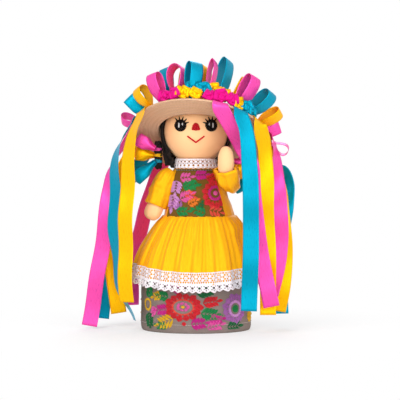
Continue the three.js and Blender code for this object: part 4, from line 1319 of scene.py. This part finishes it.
# Braids
# A short plait of three strands of black yarn hangs at each side of the face. Bright threads are
# wound round it in three places.
BRAID = 4.0
BRAID_LENGTH = 27
PLAITS = 4
BRAID_STRAND = 2.1
BRAID_SWING = (2.3, 1.3)  # of a strand, sideways and back
WRAPS = 5  # turns of each thread
WRAP_THREAD = 0.4
WRAP_PITCH = 0.62
WRAP_STARTS = {"pink": 0.24, "yellow": 0.46, "blue": 0.68}  # shares of the braid's length
BRAID_TOPS = {"right": (-38.5, 3, 191), "left": (32.8, 6, 180)}
# Each ribbon's colour and a darker copy of it. The darker copy is painted shade in the streaks of the satin,
# and it is also the colour of the thread that stitches the streamers down.
RIBBON_COLOURS = {
    "pink": ((0.92, 0.10, 0.44), (0.66, 0.02, 0.25)),
    "blue": ((0.003, 0.31, 0.45), (0.001, 0.19, 0.31)),
    "yellow": ((1.0, 0.55, 0.006), (0.86, 0.33, 0.002)),
}
for side, top in BRAID_TOPS.items():
    strands = []
    for k in range(3):
        line = []
        for share in np.linspace(0, 1, 44):
            phase = 2 * math.pi * (PLAITS * share / 2 + k / 3)
            pinch = min(1, 8 * share + 0.35, 8 * (1 - share) + 0.35)
            swing = (BRAID_SWING[0] * math.sin(phase), BRAID_SWING[1] * math.sin(2 * phase))
            line.append(np.array(top) + (pinch * swing[0], pinch * swing[1], -BRAID_LENGTH * share))
        strands.append((line, YARN_BLACK))
    braid = threads(f"{side}_braid_yarn", strands, BRAID_STRAND, black_yarn, 8)
    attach(braid, f"{side}_braid")
    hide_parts(f"{side}_braid")
    wraps = []
    for colour, start in WRAP_STARTS.items():
        for k in range(WRAPS):
            drop = BRAID_LENGTH * start + WRAP_PITCH * k
            turn = np.linspace(0, 2 * math.pi, 21)
            wound = [BRAID * np.sin(turn), BRAID * 0.82 * np.cos(turn), -drop - 0.25 * np.sin(turn)]
            wraps.append((np.array(top) + np.stack(wound, 1), RIBBON_COLOURS[colour][0]))
    wrap = threads(f"{side}_braid_wraps", wraps, WRAP_THREAD, STRANDS)
    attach(wrap, f"{side}_braid")

# Ribbon loops on the braids
# Short lengths of satin ribbon, each folded into a loop, gathered at its ends and tied to the
# plait, before or behind it.
RIBBON = 0.32  # thickness
BOW_WIDTH = 14
BOW_FLAT = BOW_WIDTH * 0.98  # across the widest part, which stays a little cupped
BOW_GATHER = 0.4  # share of its width that is left at the stitches
BOW_OFF = 4.4  # from the middle of the braid to a loop before or behind it
BOW_OUT = 3  # from the middle of the braid sideways to a loop's foot
BOW_BELLY = 7
LOOP_STEPS = 56
LOOP_FOOT = 0.6  # half the gap between the ends of a loop
GATHER_END = 0.6  # share of a loop's length where it has opened to its full width
ribbon_satin = {name: satin_finish(f"{name}_ribbon", *pair, rib=0.45, metallic=0.3)
                for name, pair in RIBBON_COLOURS.items()}
# [colour, length, degrees from straight out, drop along the braid, front or back]
BOWS = {
    "right": [("pink", 24, 29, 7, -1), ("yellow", 24, 6, 14, 1), ("blue", 31, -42, 20, -1)],
    "left": [("pink", 20, -22, 8, 1), ("yellow", 20, -32, 13, -1), ("blue", 24, -54, 22, 1)],
}


def ribbon_grid(line, across, width, cup=0.0, columns=9):
    """A ribbon along a line in mm, its edges cupped out of its plane. The other values may be given
    for each of its points."""
    across = np.broadcast_to(np.asarray(across, float), line.shape)
    normal = units(np.cross(np.gradient(line, axis=0), across))
    spots = np.linspace(-0.5, 0.5, columns)
    wide = np.broadcast_to(width, len(line))[:, None] * spots
    deep = np.broadcast_to(cup, len(line))[:, None] * (4 * spots**2 - 1 / 3)
    return line[:, None] + across[:, None] * wide[:, :, None] + normal[:, None] * deep[:, :, None]


def ribbon(name, grid, colour):
    return cloth(name, grid, ribbon_satin[colour], thickness=RIBBON, offset=0)


def gathered(line, width, foot):
    """Widths of a loop that is gathered where it is stitched down."""
    reach = np.linalg.norm(line - line[0], axis=1)
    share = np.clip(reach / reach.max() / GATHER_END, 0, 1)
    return width * (foot + (1 - foot) * share * share * (3 - 2 * share))


def loop_line(start, direction, across, length, belly, steps=LOOP_STEPS):
    """A loop that leaves a point along a direction, swells and comes back."""
    t = np.linspace(0, 1, steps)[:, None]
    side = np.cross(across, direction)
    out = length * (1 - np.cos(2 * math.pi * t)) / 2
    swell = LOOP_FOOT * np.cos(math.pi * t) + belly * np.sin(2 * math.pi * t) * np.sin(math.pi * t) ** 2
    return np.asarray(start) + out * np.asarray(direction) + swell * side


def cut_length(line):
    """Length of ribbon along a line in mm, in metres."""
    return float(np.linalg.norm(np.diff(line, axis=0), axis=1).sum()) * MM


for side, rows in BOWS.items():
    mirror = -1 if side == "right" else 1
    for colour, length, degrees, drop, face in rows:
        turn = math.radians(degrees)
        direction = np.array([mirror * math.cos(turn), 0, math.sin(turn)])
        across = np.array([-mirror * math.sin(turn), 0, math.cos(turn)])
        start = np.array(BRAID_TOPS[side]) + np.array([mirror * BOW_OUT, face * BOW_OFF, -drop])
        line = loop_line(start, direction, across, length - BOW_OUT, BOW_BELLY)
        wide = gathered(line, BOW_FLAT, BOW_GATHER)
        cup = np.sqrt(BOW_WIDTH**2 - wide**2) / 2
        bow = ribbon(f"{side}_bow_{colour}_satin", ribbon_grid(line, across, wide, cup), colour)
        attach(bow, f"{side}_braid")
        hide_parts(f"{side}_bow_{colour}")

# Hat
# A straw hat worn tilted back: a braid of split palm coiled from the crown outwards and sewn edge
# to edge, with its last turn folded over as a rim.
STRAW = (0.82, 0.53, 0.33)
STRAW_DARK = (0.52, 0.29, 0.155)
HAT_TILT = math.radians(31)
HAT_ROLL = math.radians(9)
HAT_BELOW_HEAD = 4  # from the middle of the head down to the brim, along the hat
CROWN = 37.5  # inside radius of the crown
HAT_WALL = 1.6
BRIM = 71
BRIM_SHIFT = 7  # of the edge, towards the doll's left
BRIM_DROOP = 2.5
RIM = 1.1  # radius of the folded edge
RIM_INSET = 0.8
STRAW_BRAID = 5.2  # width of the sewn braid
STRAW_SPLIT = 2.1  # width of a split of palm in it
BRAID_RELIEF = 0.45
HAT_COLUMNS = 180
BRIM_BEND = math.radians(28)
BEND_RISE = 3.4
HAT_TURN = np.array(Matrix.Rotation(HAT_ROLL, 3, "Y") @ Matrix.Rotation(-HAT_TILT, 3, "X"))
HAT_FOOT = HEAD_MIDDLE - HAT_BELOW_HEAD * HAT_TURN[:, 2]


def in_hat(points):
    """Points of the upright hat, moved to where it is worn."""
    return np.asarray(points) @ HAT_TURN.T + HAT_FOOT


def brim_share(radius):
    return max(0.0, radius - CROWN) / (BRIM - CROWN)


def brim_height(radius):
    return -BRIM_DROOP * brim_share(radius) ** 2


def on_brim(turn, radius, lift):
    """A point over the brim of the upright hat."""
    flat = oval(np.array(turn), radius, radius, BRIM_SHIFT * brim_share(radius))
    return np.array([*flat, brim_height(radius) + lift])


def hat_profile():
    """[radius, height] from the middle of the crown, round the rim, to the middle of its inside."""
    def arc(radius, middle, start, end, count):
        angles = np.radians(np.linspace(start, end, count))
        return [radius * upright(angle) + middle for angle in angles]

    def level(start, end, lift):
        return [np.array([r, brim_height(r) + lift]) for r in np.linspace(start, end, 44)]

    crown_middle = (0, HAT_BELOW_HEAD)
    rim_middle = (BRIM - RIM_INSET, brim_height(BRIM) + HAT_WALL / 2)
    outside = CROWN + HAT_WALL
    rows = arc(outside, crown_middle, 1, 88, 90)
    rows += level(outside + 0.8, BRIM - RIM_INSET, HAT_WALL)
    rows += arc(RIM, rim_middle, 10, 170, 9)
    rows += level(BRIM - RIM_INSET, CROWN + 0.6, 0)
    rows += arc(CROWN, crown_middle, 88, 1, 40)
    return np.array(rows)


def brim_wave(turn, radius):
    """The straw is bent up over the left eye, where the brim meets the crown."""
    aside = (turn - BRIM_BEND + math.pi) % (2 * math.pi) - math.pi
    return BEND_RISE * math.exp(-((aside / 0.6) ** 2) - ((radius - CROWN - 2) / 7) ** 2)


def straw_finish():
    """Splits of palm that lean to and fro across the braid, streaked along it."""
    made = Finish(bpy.data.materials.new("woven_straw"), roughness=0.72, sheen_weight=0.1)
    u, v, _ = made.axes(made.threads())
    lean = (v * (2 * math.pi / STRAW_BRAID)).math("SINE") * 1.4
    weave = ((u + lean) * (2 * math.pi / STRAW_SPLIT)).math("SINE")
    drawn_out = made.add("ShaderNodeCombineXYZ", None, {"X": u * 0.05, "Y": v * 1.1, "Z": 0})
    streaks = made.noise(drawn_out, 1.0, 4)
    tone = (weave * 0.12 + streaks * 1.1 - 0.08).limited()
    made.feed("Base Color", made.mix(tone, STRAW_DARK, STRAW))
    made.bump(weave * 0.5 + streaks * 0.5, 0.25)
    return made.owner


profile = hat_profile()
walked = lengths(profile[None])
slope = units(np.gradient(profile, axis=0))
outward = np.stack([-slope[:, 1], slope[:, 0]], 1)
ridges = BRAID_RELIEF * (np.abs(np.cos(math.pi * walked / STRAW_BRAID)) - 1)
shaped = profile - outward * ridges[:, None]
hat_grid = np.array([[(*oval(np.array(t), r, r, BRIM_SHIFT * brim_share(r)), h + brim_wave(t, r))
                      for t in turns(HAT_COLUMNS)] for r, h in shaped[::-1]])
hat = stuffed("straw_hat_woven", in_hat(hat_grid), straw_finish())
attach(hat, "head")
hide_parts("straw_hat")

# Ribbon loops on the hat
# A fan of satin ribbon loops in three colours, stitched to the brim in two rows round the crown.
# One narrow ribbon curls out from the edge of the brim, below the last loop.
OUTER_ROW = 54.5
INNER_ROW = 43
LOOP_WIDTH = 14
LOOP_GATHER = 0.38  # share of its width that is left at the stitches
LOOP_FULL = LOOP_WIDTH * 1.05
LOOP_REST = 0.4  # from the straw to the middle of a ribbon that lies on it
LOOP_SWELL = 1.5  # how far the side of a leaning loop sags below its foot
# [colour, degrees round the brim from the front, row, lean outwards, length, twist, fullness]
LOOPS = [
    ("pink", -95, OUTER_ROW, 74, 28, 0, 6.5),
    ("blue", -77, OUTER_ROW, 55, 29.5, 60, 5),
    ("yellow", -61.5, OUTER_ROW, 50, 30, -4, 9),
    ("pink", -46, OUTER_ROW, 38, 36, -4, 8),
    ("blue", -46, INNER_ROW, 18, 48, 0, 5),
    ("pink", -29.5, OUTER_ROW, 16, 42, 88, 12),
    ("yellow", -24, INNER_ROW, 6, 46, 0, 5),
    ("blue", -13, OUTER_ROW, 20, 43, 40, 10),
    ("yellow", -2, INNER_ROW, 8, 49, 50, 6),
    ("pink", 3, OUTER_ROW, 16, 48, 68, 4.5),
    ("blue", 20, INNER_ROW, 12, 61, 34, 8),
    ("yellow", 42, INNER_ROW, 26, 47, -20, 7),
    ("pink", 35, OUTER_ROW, 34, 44, 8, 10),
    ("blue", 48, OUTER_ROW, 54, 41, 6, 10),
    ("yellow", 65.5, OUTER_ROW, 58, 36, 0, 7),
    ("pink", 82, OUTER_ROW, 59, 30, -45, 6),
]


def brim_axes(turn):
    """Directions outwards and sideways on the brim of the upright hat."""
    return np.array([math.sin(turn), -math.cos(turn), 0]), np.array([math.cos(turn), math.sin(turn), 0])


for number, (colour, degrees, row, lean, length, twist, belly) in enumerate(LOOPS, 1):
    turn, lean, twist = (math.radians(a) for a in (degrees, lean, twist))
    out, side = brim_axes(turn)
    direction = out * math.sin(lean) + np.array([0, 0, math.cos(lean)])
    across = np.array(Matrix.Rotation(twist, 3, Vector(direction)) @ Vector(side))
    below = (LOOP_FOOT + LOOP_SWELL) * math.cos(twist)
    below += LOOP_GATHER * LOOP_WIDTH / 2 * abs(math.sin(twist))
    start = on_brim(turn, row, HAT_WALL + LOOP_REST + below * math.sin(lean))
    line = in_hat(loop_line(start, direction, across, length, belly))
    wide = gathered(line, LOOP_WIDTH, LOOP_GATHER)
    grid = ribbon_grid(line, HAT_TURN @ across, wide, (LOOP_FULL - wide) / 3)
    node = f"loop_{number:02d}_{colour}"
    loop = ribbon(f"{node}_satin", grid, colour)
    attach(loop, "head")
    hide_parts(node)

CURL_TURN = math.radians(83)
CURL_OUT = np.array([0.88, 0, -0.47])
CURL_ACROSS = np.array([0.12, 0.97, 0.22])
CURL_LENGTH = 20
CURL_BELLY = 8
CURL_WIDTH = 10
curl_start = in_hat(on_brim(CURL_TURN, BRIM - 1, HAT_WALL + 0.8))
curl_line = loop_line(curl_start, CURL_OUT, CURL_ACROSS, CURL_LENGTH, CURL_BELLY)
pink_curl = ribbon("pink_curl_satin", ribbon_grid(curl_line, CURL_ACROSS, CURL_WIDTH), "pink")
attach(pink_curl, "head")

# Streamers
# Twelve long satin ribbons, stitched to the brim under the loops. They come over its edge and
# hang down both sides, some twisting, with their ends cut straight.
# [colour, degrees round the brim, turn at the foot, path]
# Path: [drop below the brim, shift sideways, distance in front of the doll's middle]
STREAMERS = {
    "right_streamer_1": ("yellow", -62, -24, [
        (25, -10, 33), (46, -13, 33), (100, -16, 33), (150, -17, 33), (193, -16, 33)]),
    "right_streamer_2": ("blue", -81, -40, [
        (30, -16, 17), (70, -19, 17), (134, -18, 17), (170, -13, 17), (203, 0, 17)]),
    "right_streamer_3": ("pink", -98, -8, [
        (37, -20, -1), (60, -24, -1), (107, -29, 0), (142, -35, 0), (199, -44, 0)]),
    "right_streamer_4": ("yellow", -115, 8, [
        (33, -18, -15), (59, -24, -14), (110, -26, -14), (141, -24, -14), (176, -19, -14)]),
    "right_streamer_5": ("blue", -132, 0, [
        (28, -19, -28), (54, -28, -26), (100, -38, -26), (136, -44, -26), (172, -48, -26)]),
    "right_streamer_6": ("pink", -150, 20, [
        (24, -10, -56), (51, -19, -62), (77, -26, -65), (114, -34, -65), (152, -34, -65)]),
    "left_streamer_1": ("pink", 10, 0, [
        (23, 10, 56), (45, 22, 42), (60, 30, 41), (94, 33, 42), (149, 40, 44), (203, 51, 46)]),
    "left_streamer_2": ("blue", 27.5, 0, [
        (20, 5, 60), (60, 9, 61), (100, 10, 61), (140, 10, 61), (199, 8, 61)]),
    "left_streamer_3": ("yellow", 47, 0, [
        (26, 6, 36), (48, 8, 34), (90, 8, 34), (130, 10, 34), (195, 10, 34)]),
    "left_streamer_4": ("pink", 72, 0, [
        (33, 6, 16), (75, 9, 17), (98, 10, 17), (124, 8, 17), (160, 0, 18)]),
    "left_streamer_5": ("yellow", 94, 0, [
        (20, 7, 3), (50, 9, 3), (101, 14, 3), (136, 12, 3), (164, 7, 3)]),
    "left_streamer_6": ("blue", 115, 0, [
        (9, 21, -27), (22, 26, -24), (44, 25, -20), (75, 20, -16), (106, 18, -13), (156, 19, -12)]),
}
RIBBON_WIDTH = 16
STREAMER_STEPS = 90
STREAMER_COLUMNS = 11
STREAMER_CUP = 0.35
RIM_BEND = ((2.2, 2.4), (3.2, 6))  # [out, down] past the edge of the brim
RIM_BENDS = {"left_streamer_6": ((5, 0.4), (12, 2.4))}  # stands out stiffly first
LAST_TURNS = {"right_streamer_2": -80}  # twisted further at the end
WAVE = 1.7
WAVE_LENGTH = 62
RIM_GAP = 0.95  # from the edge of the brim to the middle of a ribbon
ON_BRIM = (48, 56, 64, 69)  # radii of the stretch that is stitched to the brim
ON_BRIM_LIFT = 0.7
STITCHES = 7  # at the inner end of each streamer
STITCH_SPAN = 0.42  # share of the ribbon's width to the last stitch at each side
STITCH_RADII = (46.6, 49.6)
STITCH_LIFTS = (0.2, 1.25)  # off the straw, and over the ribbon
for node, (colour, degrees, foot_turn, path) in STREAMERS.items():
    turn = math.radians(degrees)
    out, side = brim_axes(turn)
    rim = in_hat(on_brim(turn, BRIM, HAT_WALL) + out * RIM_GAP)
    rim_out, rim_side = HAT_TURN @ out, HAT_TURN @ side
    fall = np.array([0, 0, -1.0]) + rim_side * rim_side[2]
    hanging = [rim] + [rim + rim_out * past + fall * drop for past, drop in RIM_BENDS.get(node, RIM_BEND)]
    hanging += [(rim[0] + shift, -front, rim[2] - drop) for drop, shift, front in path]
    stitched = [in_hat(on_brim(turn, radius, HAT_WALL + ON_BRIM_LIFT)) for radius in ON_BRIM]
    line = smooth_path([*stitched, *hanging], STREAMER_STEPS)
    share = np.linspace(0, 1, STREAMER_STEPS)
    last = np.clip(2.5 * share - 1.5, 0, 1) * (LAST_TURNS.get(node, foot_turn) - foot_turn)
    angle = np.radians(foot_turn + last)
    foot = np.stack([np.cos(angle), np.sin(angle), 0 * angle], 1)
    foot *= 1 if foot[0] @ rim_side >= 0 else -1
    on_hat = cut_length(smooth_path([*stitched, rim], 30)) / cut_length(line)
    eased = np.clip(((share - on_hat) / (1 - on_hat) - 0.1) * 3.4, 0, 1)[:, None]
    run = units(np.gradient(line, axis=0))
    across = rim_side * (1 - eased) + foot * eased
    across = units(across - run * (across * run).sum(axis=1)[:, None])
    walked = share * cut_length(line) / MM
    wave = WAVE * np.sin(2 * math.pi * walked / WAVE_LENGTH + degrees) * eased[:, 0]
    line = line + np.cross(run, across) * wave[:, None]
    grid = ribbon_grid(line, across, RIBBON_WIDTH, STREAMER_CUP, STREAMER_COLUMNS)
    streamer = ribbon(f"{node}_satin", grid, colour)
    (rim - rim_out * 2) * MM
    (rim + rim_out * 2 + fall * 3) * MM
    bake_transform(streamer)
    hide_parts(node)

stitch_lines = []
for colour, degrees, _, _ in STREAMERS.values():
    turn = math.radians(degrees)
    side = brim_axes(turn)[1]
    for k in np.linspace(-STITCH_SPAN, STITCH_SPAN, STITCHES):
        inner, outer = (on_brim(turn, radius, HAT_WALL) + side * RIBBON_WIDTH * k for radius in STITCH_RADII)
        low, high = (np.array([0, 0, lift]) for lift in STITCH_LIFTS)
        spots = [inner + low, between(inner, outer, 0.3) + high, outer + high]
        stitch_lines.append((in_hat(spots), RIBBON_COLOURS[colour][1]))
stitches = threads("streamer_stitches", stitch_lines, THREAD, STRANDS)
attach(stitches, "head")

# Ribbon flowers
# Stars of short ribbon petals, folded over and gathered to a point, sewn in a garland along the
# front edge of the brim.
PETAL_WIDTH = 10
PETAL_BELLY = 2.2
PETAL_CUP = 0.4
PETAL_GATHER = 0.3
PETAL_GRID = (15, 5)  # rows and columns
GARLAND_ROW = 66  # radius of the front row; the flowers behind it stand higher
FLOWER_FACING = (0.97, -0.24)  # outwards and up
# Magenta ribbon for the pink flowers, and a darker copy of it that is painted shade in the streaks of its
# satin.
MAGENTA_RIBBON = ((0.75, 0.01, 0.25), (0.48, 0.004, 0.13))
FLOWER_SATIN = {**ribbon_satin, "pink": satin_finish("magenta_ribbon", *MAGENTA_RIBBON)}
# [petals, lean towards the front, size] of the two rounds in each flower
PETAL_ROUNDS = [(5, 24, 1.0), (3, 58, 0.72)]
# [colour, degrees round the brim, radius of the row, length of a petal]
FLOWERS = [
    ("pink", -38, 66, 7), ("pink", -29, 66, 7.5), ("yellow", -20, 65.5, 8.5), ("blue", -14, 60, 8.5),
    ("yellow", -10, 66, 7.5), ("blue", -3, 60, 8.5), ("pink", 1, 66, 6.5), ("yellow", 7, 60, 9),
    ("yellow", 15, 61, 9), ("pink", 11, 67, 8), ("pink", 20, 67, 8.5), ("yellow", 28, 66, 7),
    ("blue", 35, 66.5, 7.5), ("blue", 43, 66, 7.5),
]


def petals(turn, radius, size, start):
    """Grids of the petals of one flower, which faces outwards from the brim as it is worn."""
    out, side = brim_axes(turn)
    facing = out * FLOWER_FACING[0] + np.array([0, 0, FLOWER_FACING[1]])
    upward = np.cross(facing, side)
    place = on_brim(turn, radius, HAT_WALL + size + max(0, GARLAND_ROW - radius))
    made = []
    for count, lean, share in PETAL_ROUNDS:
        for k in range(count):
            chance = math.sin(12.9 * start + 7.3 * k + lean)
            angle = start + 2 * math.pi * k / count + 0.4 * chance
            spoke = side * math.cos(angle) + upward * math.sin(angle)
            across = upward * math.cos(angle) - side * math.sin(angle)
            rise = math.radians(lean + 16 * abs(math.sin(31 * chance)))
            direction = spoke * math.cos(rise) + facing * math.sin(rise)
            short = 0.72 if math.sin(angle) < -0.3 else 1.0
            length = size * share * short * (1 + 0.2 * chance)
            line = loop_line(place, direction, across, length, PETAL_BELLY, PETAL_GRID[0])
            wide = gathered(line, PETAL_WIDTH * share, PETAL_GATHER)
            made.append(in_hat(ribbon_grid(line, across, wide, PETAL_CUP, PETAL_GRID[1])))
    return made


for colour in RIBBON_COLOURS:
    grids = []
    for number, (dyed, degrees, radius, size) in enumerate(FLOWERS):
        if dyed == colour:
            grids += petals(math.radians(degrees), radius, size, number * 1.3)
    garland = cloth(f"garland_{colour}", grids, FLOWER_SATIN[colour], thickness=RIBBON, offset=0)
    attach(garland, "head")
    if colour == "pink":
        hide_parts("flower_garland")
